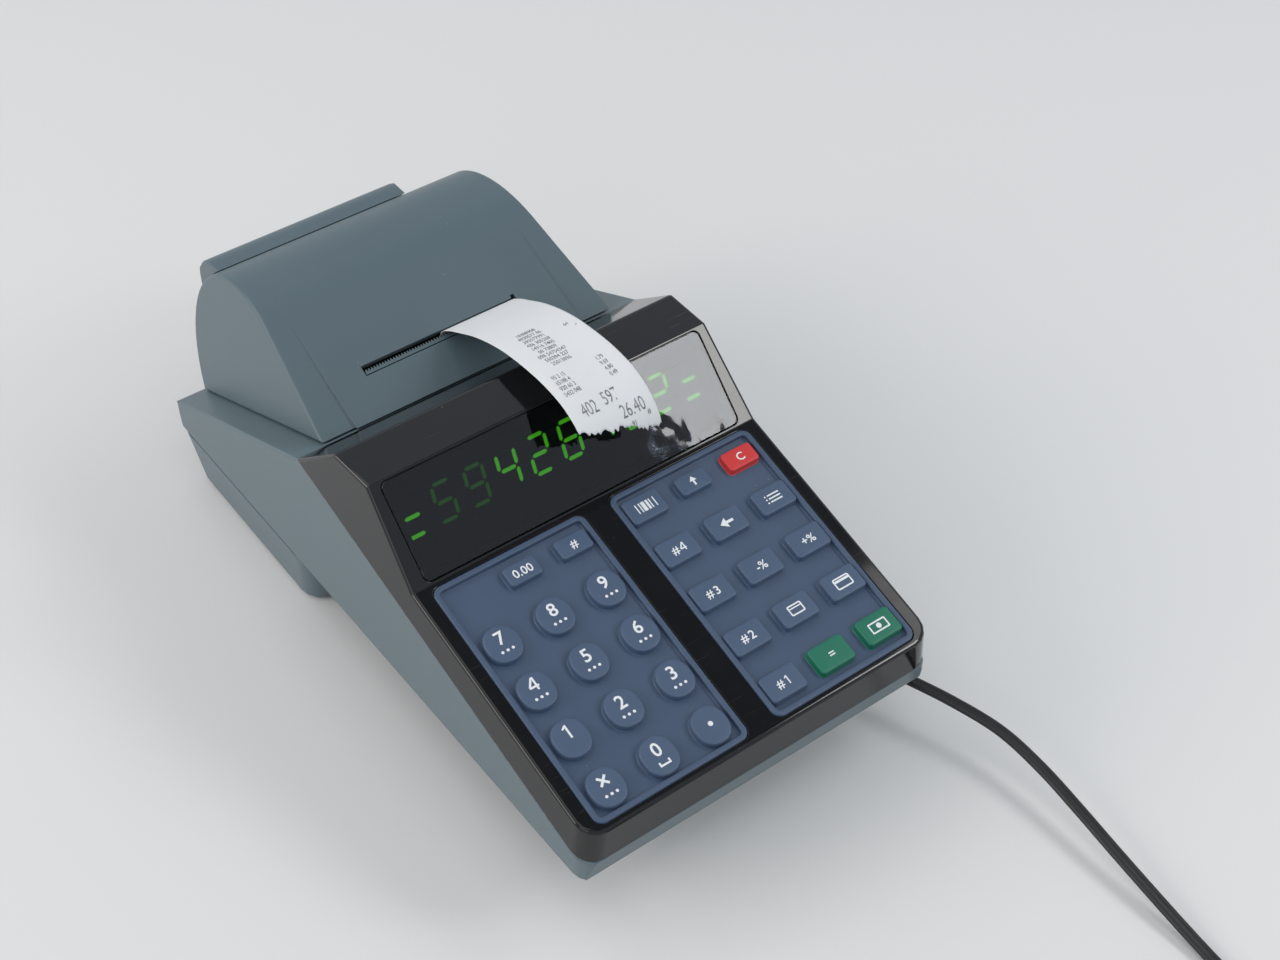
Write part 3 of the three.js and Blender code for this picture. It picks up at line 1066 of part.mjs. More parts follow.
// The printer's places in the side view, worked out from the slot and the case
const slotMouth = step(
  domeFoot, SLOT_DISTANCE + SEAM_GAP + COMB_BACK_DEPTH + (SLOT_WIDTH + COMB_TOOTH_HEIGHT) / 2, domeSlope);
const slotThroat = step(slotMouth, -(DOME_WALL + COMB_FLANGE_THICKNESS), domeSlope + RIGHT_ANGLE);
const platenAxis = [slotMouth[0] + PLATEN_SETBACK, slotMouth[1] - PLATEN_DROP];
const trayFloorTop = PAD_STAND_HEIGHT + TRAY_FLOOR;
const rollAxis = [BODY_REAR - ROLL_REAR_DISTANCE, trayFloorTop + SEAM_GAP + ROLL_FLOOR_GAP + ROLL_RADIUS];
const spoolAxis = [BODY_REAR - SPOOL_REAR_DISTANCE, rollAxis[1] + SPOOL_RISE];
const gearCentres = GEAR_MODULE * (PLATEN_TEETH + PINION_TEETH) / 2;
const motorAxis = [
  platenAxis[0] - gearCentres * sin(radians(MOTOR_ANGLE)),
  platenAxis[1] - gearCentres * cos(radians(MOTOR_ANGLE)),
];
const throatLeft = SLOT_CENTRE_X - THROAT_HALF_WIDTH;
const throatRight = SLOT_CENTRE_X + THROAT_HALF_WIDTH;
const laneCentre = (side) => SLOT_CENTRE_X
  + side * (THROAT_HALF_WIDTH + FRAME_PARTITION_THICKNESS / 2) / 2;
const gearFrom = throatRight + FRAME_WALL + GEAR_GAP;

/** A side wall of the printer frame: a step over the tray's front wall, a dip for the rolls, a spool seat. */
function frameWall(frontY, height) {
  const rear = BODY_REAR - FRAME_REAR_SETBACK;
  const [bottom, sill] = [trayFloorTop + SEAM_GAP, underHeight(0) + FRAME_MARGIN + TRAY_RIM];
  const footFront = BODY_REAR - BLOCK_DEPTH + TRAY_WALL + SEAM_GAP + BLOCK_FRONT_TUCK;
  const dip = rollAxis[1] + ROLL_RADIUS + FRAME_MARGIN;
  const spoolHalf = SPOOL_FLANGE_RADIUS / 2;
  return outline([
    [footFront, bottom], [rear, bottom], [rear, dip], [spoolAxis[0] + spoolHalf, spoolAxis[1]],
    [spoolAxis[0] + spoolHalf / 2, spoolAxis[1] + FRAME_MARGIN],
    [spoolAxis[0] - spoolHalf / 2, spoolAxis[1] + FRAME_MARGIN],
    [spoolAxis[0] - spoolHalf, spoolAxis[1]], [spoolAxis[0] - 2 * spoolHalf, dip],
    [platenAxis[0] + 2 * PLATEN_RADIUS, dip], [platenAxis[0] + PLATEN_RADIUS + FRAME_WALL, height],
    [frontY, height], [frontY, sill], [footFront, sill - FRAME_MARGIN],
  ]);
}

function printerFrame() {
  const frontY = platenAxis[0] - PLATEN_RADIUS - HEAD_GAP - HEAD_THICKNESS - HEAD_FIN_DEPTH
    - FRAME_FRONT_SETBACK / 2;
  const wall = frameWall(frontY, platenAxis[1] + PLATEN_RADIUS + FRAME_WALL);
  const walls = [
    solid(alongX(wall, throatLeft - FRAME_WALL, throatLeft)),
    solid(alongX(wall, throatRight, throatRight + FRAME_WALL)),
  ];
  const rear = BODY_REAR - FRAME_REAR_SETBACK;
  const troughFront = rollAxis[0] - ROLL_RADIUS;
  const bottom = trayFloorTop + SEAM_GAP;
  const trough = solid(block(
    [throatLeft - FRAME_WALL / 2, troughFront, bottom],
    [throatRight + FRAME_WALL / 2, rear, rollAxis[1] - ROLL_RADIUS * HALF_SHARE]))
    .subtract(solid(barX(...rollAxis, ROLL_RADIUS + SEAM_GAP, -BODY_WIDTH, BODY_WIDTH, 2 * ARC_STEPS)));
  const split = outline([
    [troughFront, bottom], [rear, bottom], [rear, rollAxis[1]],
    [spoolAxis[0] + SPOOL_FLANGE_RADIUS / 2, spoolAxis[1]], [spoolAxis[0], spoolAxis[1] + FRAME_MARGIN],
    [spoolAxis[0] - SPOOL_FLANGE_RADIUS / 2, spoolAxis[1]], [troughFront, rollAxis[1]],
  ]);
  const partition = solid(alongX(
    split, SLOT_CENTRE_X - FRAME_PARTITION_THICKNESS / 2, SLOT_CENTRE_X + FRAME_PARTITION_THICKNESS / 2));
  const beamTop = motorAxis[1] - MOTOR_RADIUS - RUNNING_CLEARANCE;
  const beam = solid(block(
    [throatLeft - FRAME_WALL / 2, frontY + FRAME_WALL, beamTop - FRAME_BEAM_HEIGHT],
    [throatRight + FRAME_WALL / 2, frontY + FRAME_WALL + FRAME_BEAM_HEIGHT, beamTop]));
  const holes = [
    barX(...platenAxis, PLATEN_SHAFT_RADIUS + RUNNING_CLEARANCE, -BODY_WIDTH, BODY_WIDTH),
    barX(...spoolAxis, PLATEN_SHAFT_RADIUS + RUNNING_CLEARANCE, -BODY_WIDTH, BODY_WIDTH),
    barX(...motorAxis, 2 * MOTOR_SHAFT_RADIUS + RUNNING_CLEARANCE, 0, BODY_WIDTH),
  ];
  let body = joined(...walls, trough, partition, beam);
  holes.forEach((hole) => { body = body.subtract(solid(hole)); });
  return piece('printer_frame', shapeOf(body), 'frame');
}

function platenRoller() {
  const from = throatLeft - FRAME_WALL - SHAFT_END_LENGTH;
  const to = gearFrom + GEAR_WIDTH + SHAFT_END_LENGTH;
  const [left, right] = [throatLeft + 2 * SEAM_GAP, throatRight - 2 * SEAM_GAP];
  return piece('platen_roller', turnedX([
    [0, from], [PLATEN_SHAFT_RADIUS, from], [PLATEN_SHAFT_RADIUS, left], [PLATEN_RADIUS, left],
    [PLATEN_RADIUS, right], [PLATEN_SHAFT_RADIUS, right], [PLATEN_SHAFT_RADIUS, to], [0, to],
  ], ...platenAxis), 'rubber');
}

/** A spur gear's outline in its own plane: involute flanks, flat tips and roots, phase in radians. */
function gearOutline(teeth, phase) {
  const pressure = radians(GEAR_PRESSURE_ANGLE);
  const pitchRadius = GEAR_MODULE * teeth / 2;
  const base = pitchRadius * cos(pressure);
  const tip = pitchRadius + GEAR_MODULE * GEAR_ADDENDUM_SHARE;
  const root = pitchRadius - GEAR_MODULE * GEAR_DEDENDUM_SHARE;
  const involute = (radius) => {
    const turn = sqrt(max((radius / base) ** 2 - 1, 0));
    return turn - Math.atan(turn);
  };
  const halfPitch = (PI * GEAR_MODULE / 2 - GEAR_BACKLASH) / 2 / pitchRadius;
  const halfAt = (radius) => halfPitch + involute(pitchRadius) - involute(radius);
  const start = max(root, base);
  const radii = [start, pitchRadius, (pitchRadius + tip) / 2, tip];
  const points = [];
  for (let tooth = 0; tooth < teeth; tooth += 1) {
    const centre = phase + tooth * 2 * PI / teeth;
    points.push([root, centre - halfAt(start)]);
    radii.forEach((radius) => points.push([radius, centre - halfAt(radius)]));
    radii.slice().reverse().forEach((radius) => points.push([radius, centre + halfAt(radius)]));
    points.push([root, centre + halfAt(start)]);
  }
  const clean = points.filter(([r], k) => k === 0 || r !== points[k - 1][0] || r === tip || root === r);
  return outline(clean.map(([r, a]) => [r * cos(a), r * sin(a)]));
}

/** A gear carried along X about an axis. */
function gearX(teeth, phase, [y, z], from, to) {
  return alongX(gearOutline(teeth, phase), from, to).translate(0, y, z);
}

function platenGear() {
  const toMotor = atan2(motorAxis[1] - platenAxis[1], motorAxis[0] - platenAxis[0]);
  const wheel = solid(gearX(PLATEN_TEETH, toMotor, platenAxis, gearFrom, gearFrom + GEAR_WIDTH));
  const bore = barX(...platenAxis, PLATEN_SHAFT_RADIUS + RUNNING_CLEARANCE, -BODY_WIDTH, BODY_WIDTH);
  return piece('platen_gear', shapeOf(wheel.subtract(solid(bore))), 'gear');
}

function motorPinion() {
  const toPlaten = atan2(platenAxis[1] - motorAxis[1], platenAxis[0] - motorAxis[0]);
  const phase = toPlaten + PI / PINION_TEETH;
  const wheel = solid(gearX(PINION_TEETH, phase, motorAxis, gearFrom, gearFrom + GEAR_WIDTH));
  const shaft = barX(...motorAxis, MOTOR_SHAFT_RADIUS,
    throatRight - SEAM_GAP - MOTOR_SHAFT_INSERT, gearFrom + GEAR_WIDTH / 2);
  return piece('motor_pinion', shapeOf(wheel.add(solid(shaft))), 'gear');
}

function feedMotor() {
  const to = throatRight - SEAM_GAP;
  const can = solid(barX(...motorAxis, MOTOR_RADIUS, to - MOTOR_LENGTH, to, ROUND_STEPS));
  const bore = barX(
    ...motorAxis, MOTOR_SHAFT_RADIUS + RUNNING_CLEARANCE, to - MOTOR_SHAFT_INSERT - SEAM_GAP, to + OVERRUN);
  return piece('feed_motor', shapeOf(can.subtract(solid(bore))), 'steel');
}

function printHead() {
  const back = platenAxis[0] - PLATEN_RADIUS - HEAD_GAP;
  const bottom = platenAxis[1] - HEAD_HEIGHT / 2;
  const [left, right] = [throatLeft + SEAM_GAP, throatRight - SEAM_GAP];
  const plate = solid(block([left, back - HEAD_THICKNESS, bottom], [right, back, bottom + HEAD_HEIGHT]));
  const fins = Array.from({ length: HEAD_FIN_COUNT }, (_, k) => {
    const z = bottom + (k + HALF_SHARE) * HEAD_HEIGHT / HEAD_FIN_COUNT;
    return solid(block(
      [left, back - HEAD_THICKNESS - HEAD_FIN_DEPTH, z - HEAD_FIN_THICKNESS / 2],
      [right, back - HEAD_THICKNESS / 2, z + HEAD_FIN_THICKNESS / 2]));
  });
  return piece('print_head', shapeOf(joined(plate, ...fins)), 'steel');
}

function paperRoll(side, name) {
  const centre = laneCentre(side);
  const [from, to] = [centre - PAPER_WIDTH / 2, centre + PAPER_WIDTH / 2];
  return piece(name, turnedX([
    [ROLL_CORE_RADIUS, from], [ROLL_RADIUS, from], [ROLL_RADIUS, to], [ROLL_CORE_RADIUS, to],
    [ROLL_CORE_RADIUS, from],
  ], ...rollAxis, 2 * ARC_STEPS), 'paper');
}

function takeupSpool() {
  const [from, to] = [throatLeft + SEAM_GAP, SLOT_CENTRE_X - FRAME_PARTITION_THICKNESS / 2 - SEAM_GAP];
  const [flange, wound] = [SPOOL_FLANGE_THICKNESS, SPOOL_WOUND_RADIUS];
  const [shaft, rim] = [PLATEN_SHAFT_RADIUS, SPOOL_FLANGE_RADIUS];
  const [left, right] = [from - SEAM_GAP - FRAME_WALL, to + SEAM_GAP + FRAME_PARTITION_THICKNESS];
  return piece('takeup_spool', turnedX([
    [0, left], [shaft, left], [shaft, from], [rim, from], [rim, from + flange], [wound, from + flange],
    [wound, to - flange], [rim, to - flange], [rim, to], [shaft, to], [shaft, right], [0, right],
  ], ...spoolAxis), 'frame');
}

/** The receipt: a band of paper that leaves the slot and curls over the shell. */
function receiptStrip() {
  const curl = RECEIPT_CURL_SHARES.map(([ahead, rise]) => [
    slotMouth[0] - ahead * RECEIPT_REACH, slotMouth[1] + rise * RECEIPT_RISE]);
  const nodes = [slotThroat, ...curl].map(([y, z]) => new THREE.Vector3(0, y, z));
  const curve = new THREE.CatmullRomCurve3(nodes, false, 'centripetal');
  const centre = curve.getSpacedPoints(2 * ARC_STEPS);
  const side = (sign) => centre.map((p, k) => {
    const [a, b] = [centre[max(k - 1, 0)], centre[min(k + 1, centre.length - 1)]];
    const span = hypot(b.y - a.y, b.z - a.z);
    const half = sign * PAPER_THICKNESS / 2;
    return [p.y - (b.z - a.z) / span * half, p.z + (b.y - a.y) / span * half];
  });
  const shape = outline([...side(1), ...side(-1).reverse()]);
  return piece('receipt_strip', alongX(
    shape, RECEIPT_CENTRE_X - PAPER_WIDTH / 2, RECEIPT_CENTRE_X + PAPER_WIDTH / 2), 'paper');
}

/** Places of the main board's posts, in the underside's frame. */
function boardPosts() {
  const near = MAIN_BOARD_FRONT_SETBACK + 2 * POST_RADIUS;
  const far = MAIN_BOARD_FRONT_SETBACK + MAIN_BOARD_LENGTH - 2 * POST_RADIUS;
  const side = MAIN_BOARD_WIDTH / 2 - 2 * POST_RADIUS;
  return [[-side, near], [side, near], [-side, far], [side, far]];
}

function mainBoard() {
  const [front, rear] = [MAIN_BOARD_FRONT_SETBACK, MAIN_BOARD_FRONT_SETBACK + MAIN_BOARD_LENGTH];
  const bottom = TRAY_FLOOR + MAIN_BOARD_STAND;
  const top = bottom + BOARD_THICKNESS;
  const half = MAIN_BOARD_WIDTH / 2;
  const parts = BOARD_PART_SHARES.map(([x0, y0, x1, y1, rise]) => solid(block(
    [x0 * half, front + y0 * MAIN_BOARD_LENGTH, top - BOARD_THICKNESS / 2],
    [x1 * half, front + y1 * MAIN_BOARD_LENGTH, top + rise * MAIN_BOARD_LENGTH])));
  const board = solid(block([-half, front, bottom], [half, rear, top]));
  return piece('main_board', shapeOf(joined(board, ...parts)).applyMatrix4(underFrame), 'board');
}

function batteryPack() {
  const x = -halfWidth + CELL_SIDE_DISTANCE;
  const z = trayFloorTop + SEAM_GAP;
  const from = BODY_REAR - BLOCK_DEPTH + CELL_FRONT_DISTANCE;
  const shape = new THREE.Shape();
  shape.absarc(x, z + CELL_RADIUS, CELL_RADIUS, PI, 2 * PI, false);
  shape.absarc(x, z + 3 * CELL_RADIUS, CELL_RADIUS, 0, PI, false);
  return piece('battery_pack', alongY(shape, from, from + CELL_LENGTH), 'battery');
}

// The lead

const plugFace = BODY_REAR - BLOCK_DEPTH - BLOCK_FRONT_TUCK - SEAM_GAP;

/** The low-voltage plug in the foot block's front, with its tapered strain relief. */
function supplyPlug() {
  const [barrel, body, relief] = [PLUG_BARREL_LENGTH, PLUG_BODY_LENGTH, PLUG_RELIEF_LENGTH];
  const points = [
    [0, barrel], [PLUG_BARREL_RADIUS, barrel], [PLUG_BARREL_RADIUS, 0], [PLUG_BODY_RADIUS, 0],
    [PLUG_BODY_RADIUS, -body], [PLUG_RELIEF_RADIUS + CORD_THICKNESS / 2, -body - SEAM_GAP],
    [PLUG_RELIEF_RADIUS, -body - relief], [0, -body - relief],
  ].reverse();
  const geometry = new THREE.LatheGeometry(
    points.map(([r, y]) => new THREE.Vector2(r, y)), SMALL_ROUND_STEPS);
  return piece('supply_plug', geometry.translate(PLUG_X, plugFace, PLUG_HEIGHT), 'cord');
}

/** The cord's flat twin section, as an outline with its width across. */
function cordSection() {
  const shape = new THREE.Shape();
  for (let k = 0; k < CORD_SIDES; k += 1) {
    const angle = 2 * PI * (k + HALF_SHARE) / CORD_SIDES;
    const [u, v] = [CORD_THICKNESS / 2 * cos(angle), CORD_WIDTH / 2 * sin(angle)];
    if (k === 0) {
      shape.moveTo(u, v);
    } else {
      shape.lineTo(u, v);
    }
  }
  return shape;
}

// The lead's height on the table, and its places at the coil and at the supply
const cordLow = CORD_THICKNESS / 2 + CORD_LIFT;
const cordTop = cordLow + (COIL_LAYERS - 1) * COIL_LAYER_HEIGHT;
const coilStart = [COIL_CENTRE_X + COIL_OUTER_RADIUS, COIL_CENTRE_Y + CORD_WIDTH];
const supplyX = COIL_CENTRE_X - COIL_OUTER_RADIUS - SUPPLY_DISTANCE - SUPPLY_WIDTH / 2;
const tailEnd = [
  supplyX + SUPPLY_WIDTH / 2 + SUPPLY_RELIEF_LENGTH, COIL_CENTRE_Y + COIL_TAIL_Y_SHARE * COIL_OUTER_RADIUS];

function cordLead() {
  const start = plugFace - PLUG_RELIEF_LENGTH - PLUG_BODY_LENGTH - CORD_JOINT;
  const exit = [[PLUG_X, start, PLUG_HEIGHT], [PLUG_X, start - CORD_WIDTH, PLUG_HEIGHT]];
  const free = CORD_ROUTE_SHARES.map(([x, y, z]) => [
    x * BODY_WIDTH, y * BODY_LENGTH, max(z * UNDERSIDE_FRONT_HEIGHT, cordLow)]);
  const [endX, endY] = [coilStart[0], coilStart[1] + CORD_JOINT];
  const last = [[endX, endY + 2 * CORD_WIDTH, cordLow], [endX, endY, cordLow]];
  const route = [...exit, ...free, ...last].map((point) => new THREE.Vector3(...point));
  const curve = new THREE.CatmullRomCurve3(route, false, 'centripetal');
  const geometry = new THREE.ExtrudeGeometry(
    cordSection(), { steps: CORD_STEPS, extrudePath: curve, bevelEnabled: false });
  return piece('cord_lead', shapeOf(solid(geometry)), 'cord');
}

/** The coil's centre line: it winds in and out again, climbing a layer in each half turn that reverses. */
function coilLine() {
  const points = [];
  const inward = COIL_PITCH * COIL_LAYER_TURNS;
  const ahead = coilStart[1] - CORD_WIDTH / 2;
  points.push(
    new THREE.Vector3(...coilStart, cordLow), new THREE.Vector3(coilStart[0], ahead, cordLow));
  for (let k = 0; k <= COIL_TURNS * COIL_STEPS; k += 1) {
    const turns = k / COIL_STEPS;
    const phase = turns / COIL_LAYER_TURNS;
    const layer = Math.floor(phase);
    const share = phase - layer;
    const depth = layer % 2 === 0 ? share : 1 - share;
    const near = min(round(phase), COIL_LAYERS - 1);
    const along = min(max((turns - near * COIL_LAYER_TURNS) * 2 + HALF_SHARE, 0), 1);
    const climb = near > 0 ? near - 1 + along * along * (3 - 2 * along) : 0;
    const radius = COIL_OUTER_RADIUS - inward * depth;
    const angle = -2 * PI * turns;
    points.push(new THREE.Vector3(
      COIL_CENTRE_X + radius * cos(angle), COIL_CENTRE_Y + radius * sin(angle),
      cordLow + climb * COIL_LAYER_HEIGHT));
  }
  COIL_TAIL_SHARES.forEach(([x, y]) => points.push(new THREE.Vector3(
    COIL_CENTRE_X + x * COIL_OUTER_RADIUS, COIL_CENTRE_Y + y * COIL_OUTER_RADIUS, cordTop)));
  [CORD_WIDTH, CORD_JOINT].forEach((gap) => points.push(
    new THREE.Vector3(tailEnd[0] + gap, tailEnd[1], cordTop)));
  return points;
}

/** A flat twin tube along points that lie nearly level: its width stays level. */
function levelTube(line, sides) {
  const rings = line.map((p, k) => {
    const [a, b] = [line[max(k - 1, 0)], line[min(k + 1, line.length - 1)]];
    const ahead = new THREE.Vector3().subVectors(b, a).normalize();
    const across = new THREE.Vector3(-ahead.y, ahead.x, 0).normalize();
    const up = new THREE.Vector3().crossVectors(ahead, across);
    return Array.from({ length: sides }, (_, n) => {
      const angle = 2 * PI * n / sides;
      return p.clone()
        .addScaledVector(across, CORD_WIDTH / 2 * cos(angle))
        .addScaledVector(up, CORD_THICKNESS / 2 * sin(angle));
    });
  });
  return rings;
}

/** The least distance between two stretches of the coil that lie about a turn or more apart. */
function leastGap(rings) {
  let least = Infinity;
  const apart = COIL_STEPS / 2;
  for (let i = 0; i < rings.length; i += 1) {
    for (let j = i + apart; j < rings.length; j += 1) {
      for (const p of rings[i]) {
        for (const q of rings[j]) {
          least = min(least, p.distanceTo(q));
        }
      }
    }
  }
  return least;
}

function cordCoil() {
  const rings = levelTube(coilLine(), COIL_SIDES);
  console.log(`cord_coil: least gap between turns ${leastGap(rings).toFixed(2)} mm`);
  return piece('cord_coil', loft(rings), 'cord');
}

/** The plug-top supply: a drafted block with two round pins and the cord's relief. */
function powerSupply() {
  const ringOf = (inset, height) => ringAt(rectPoints(
    SUPPLY_WIDTH - 2 * inset, SUPPLY_LENGTH - 2 * inset, SUPPLY_CORNER, supplyX, COIL_CENTRE_Y), height);
  const half = SUPPLY_HEIGHT / 2;
  const bodySolid = solid(loft([
    ringOf(SUPPLY_DRAFT_DEPTH, 0), ringOf(0, SUPPLY_DRAFT_DEPTH), ringOf(0, half),
    ringOf(SUPPLY_DRAFT_DEPTH, SUPPLY_HEIGHT),
  ]));
  const pinRoot = supplyX - SUPPLY_WIDTH / 2;
  const pins = [-1, 1].map((side) => solid(barX(
    COIL_CENTRE_Y + side * SUPPLY_PIN_SPACING / 2, half, SUPPLY_PIN_RADIUS,
    pinRoot - SUPPLY_PIN_LENGTH, pinRoot + SUPPLY_CORNER)));
  const side = supplyX + SUPPLY_WIDTH / 2;
  const relief = solid(barX(
    tailEnd[1], cordTop, SUPPLY_RELIEF_RADIUS, side - SUPPLY_CORNER, side + SUPPLY_RELIEF_LENGTH));
  return piece('power_supply', shapeOf(joined(bodySolid, relief, ...pins)), 'cord');
}

const register = new THREE.Group();
register.add(
  topShell(), displayWindow(), displayModule(), keyboard(), housing(), baseTray(), ...pads(),
  printerCover(), tearBar(), hingePin(), customerPod(), customerWindow(),
  printerFrame(), platenRoller(), platenGear(), motorPinion(), feedMotor(), printHead(),
  paperRoll(1, 'receipt_roll'), paperRoll(-1, 'journal_roll'), takeupSpool(), receiptStrip(),
  mainBoard(), batteryPack(), supplyPlug(), cordLead(), cordCoil(), powerSupply());

export default register;
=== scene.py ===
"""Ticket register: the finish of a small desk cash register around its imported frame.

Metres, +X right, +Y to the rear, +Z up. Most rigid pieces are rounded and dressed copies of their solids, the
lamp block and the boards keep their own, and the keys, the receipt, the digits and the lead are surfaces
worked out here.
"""

import json
import logging
from collections.abc import Callable
from dataclasses import dataclass
from enum import Enum
from math import cos, pi, radians, sin

import bmesh
import bpy
import numpy as np
from mathutils import Matrix, Vector

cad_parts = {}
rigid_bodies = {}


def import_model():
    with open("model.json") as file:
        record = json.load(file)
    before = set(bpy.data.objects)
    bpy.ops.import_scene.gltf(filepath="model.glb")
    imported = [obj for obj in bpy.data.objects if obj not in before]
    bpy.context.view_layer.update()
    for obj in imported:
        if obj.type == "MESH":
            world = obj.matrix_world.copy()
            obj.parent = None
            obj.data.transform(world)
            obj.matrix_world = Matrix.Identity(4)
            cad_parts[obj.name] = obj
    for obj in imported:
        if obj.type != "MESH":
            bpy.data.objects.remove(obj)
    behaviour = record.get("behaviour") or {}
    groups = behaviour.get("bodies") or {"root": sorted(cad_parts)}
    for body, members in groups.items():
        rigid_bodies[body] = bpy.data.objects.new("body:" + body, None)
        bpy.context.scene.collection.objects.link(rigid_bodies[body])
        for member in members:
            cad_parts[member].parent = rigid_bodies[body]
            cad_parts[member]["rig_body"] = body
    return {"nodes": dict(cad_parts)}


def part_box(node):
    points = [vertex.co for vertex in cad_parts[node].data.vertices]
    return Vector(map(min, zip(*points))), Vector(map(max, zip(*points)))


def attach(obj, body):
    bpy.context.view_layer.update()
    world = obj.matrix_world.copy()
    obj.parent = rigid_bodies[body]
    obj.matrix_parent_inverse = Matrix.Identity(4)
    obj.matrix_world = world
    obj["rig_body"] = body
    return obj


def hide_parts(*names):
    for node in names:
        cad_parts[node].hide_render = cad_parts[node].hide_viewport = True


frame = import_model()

log = logging.getLogger("ticket_register")

Triple = tuple[float, float, float]
Colour = Triple
Piece = bpy.types.Object
Points = np.ndarray
Socket = bpy.types.NodeSocket

WELD = 1e-6
TINY = 1e-12
FLAT_ANGLE = radians(0.3)
DIGIT_HEIGHT_SHARE = 0.73
CASE_BODY = "case"
COVER_BODY = "cover"


def from_screen(red: int, green: int, blue: int) -> Colour:
    """Gives a screen colour, 0 to 255 each, as linear light: the power curve of a plain screen."""
    shares = np.array([red, green, blue]) / 255
    light = np.where(shares > 0.04045, ((shares + 0.055) / 1.055) ** 2.4, shares / 12.92)
    return tuple(float(value) for value in light)


def darker(colour: Colour, share: float) -> Colour:
    """Gives a colour times a share."""
    return tuple(value * share for value in colour)


# Shader sums

def operator(operation: str, number_first: bool = False) -> Callable:
    """Makes a method that adds a Math node.

    Args:
        operation: the node's operation.
        number_first: whether the other value comes first.
    Returns:
        The method.
    """
    def work(wire: "Wire", other: "Wire | float") -> "Wire":
        """Works it out."""
        return wire.math(operation, *((other, wire) if number_first else (wire, other)))
    return work


class Wire:
    """A shader value in sums: each operator adds one Math node."""

    __add__, __radd__ = operator("ADD"), operator("ADD", True)
    __sub__, __rsub__ = operator("SUBTRACT"), operator("SUBTRACT", True)
    __mul__, __rmul__ = operator("MULTIPLY"), operator("MULTIPLY", True)
    __pow__ = operator("POWER")

    def __init__(self, recipe: "Recipe", socket: Socket) -> None:
        """Keeps the socket and the recipe that it belongs to."""
        self.recipe, self.socket = recipe, socket

    def math(self, operation: str, *values: "Wire | float") -> "Wire":
        """Adds a Math node.

        Args:
            operation: the node's operation.
            values: its inputs, wires or numbers.
        Returns:
            The node's result.
        """
        node = self.recipe.node("ShaderNodeMath", {"operation": operation}, dict(enumerate(values)))
        return Wire(self.recipe, node.outputs[0])

    def wave(self) -> "Wire":
        """Gives the sine."""
        return self.math("SINE", self)

    def above(self, low: float, high: float) -> "Wire":
        """Gives 0 below one value and 1 above another, with a smooth step between."""
        node = self.recipe.node("ShaderNodeMapRange", {"interpolation_type": "SMOOTHSTEP"}, {
            "Value": self, "From Min": low, "From Max": high})
        return Wire(self.recipe, node.outputs[0])


Value = Wire | Socket | float | Colour


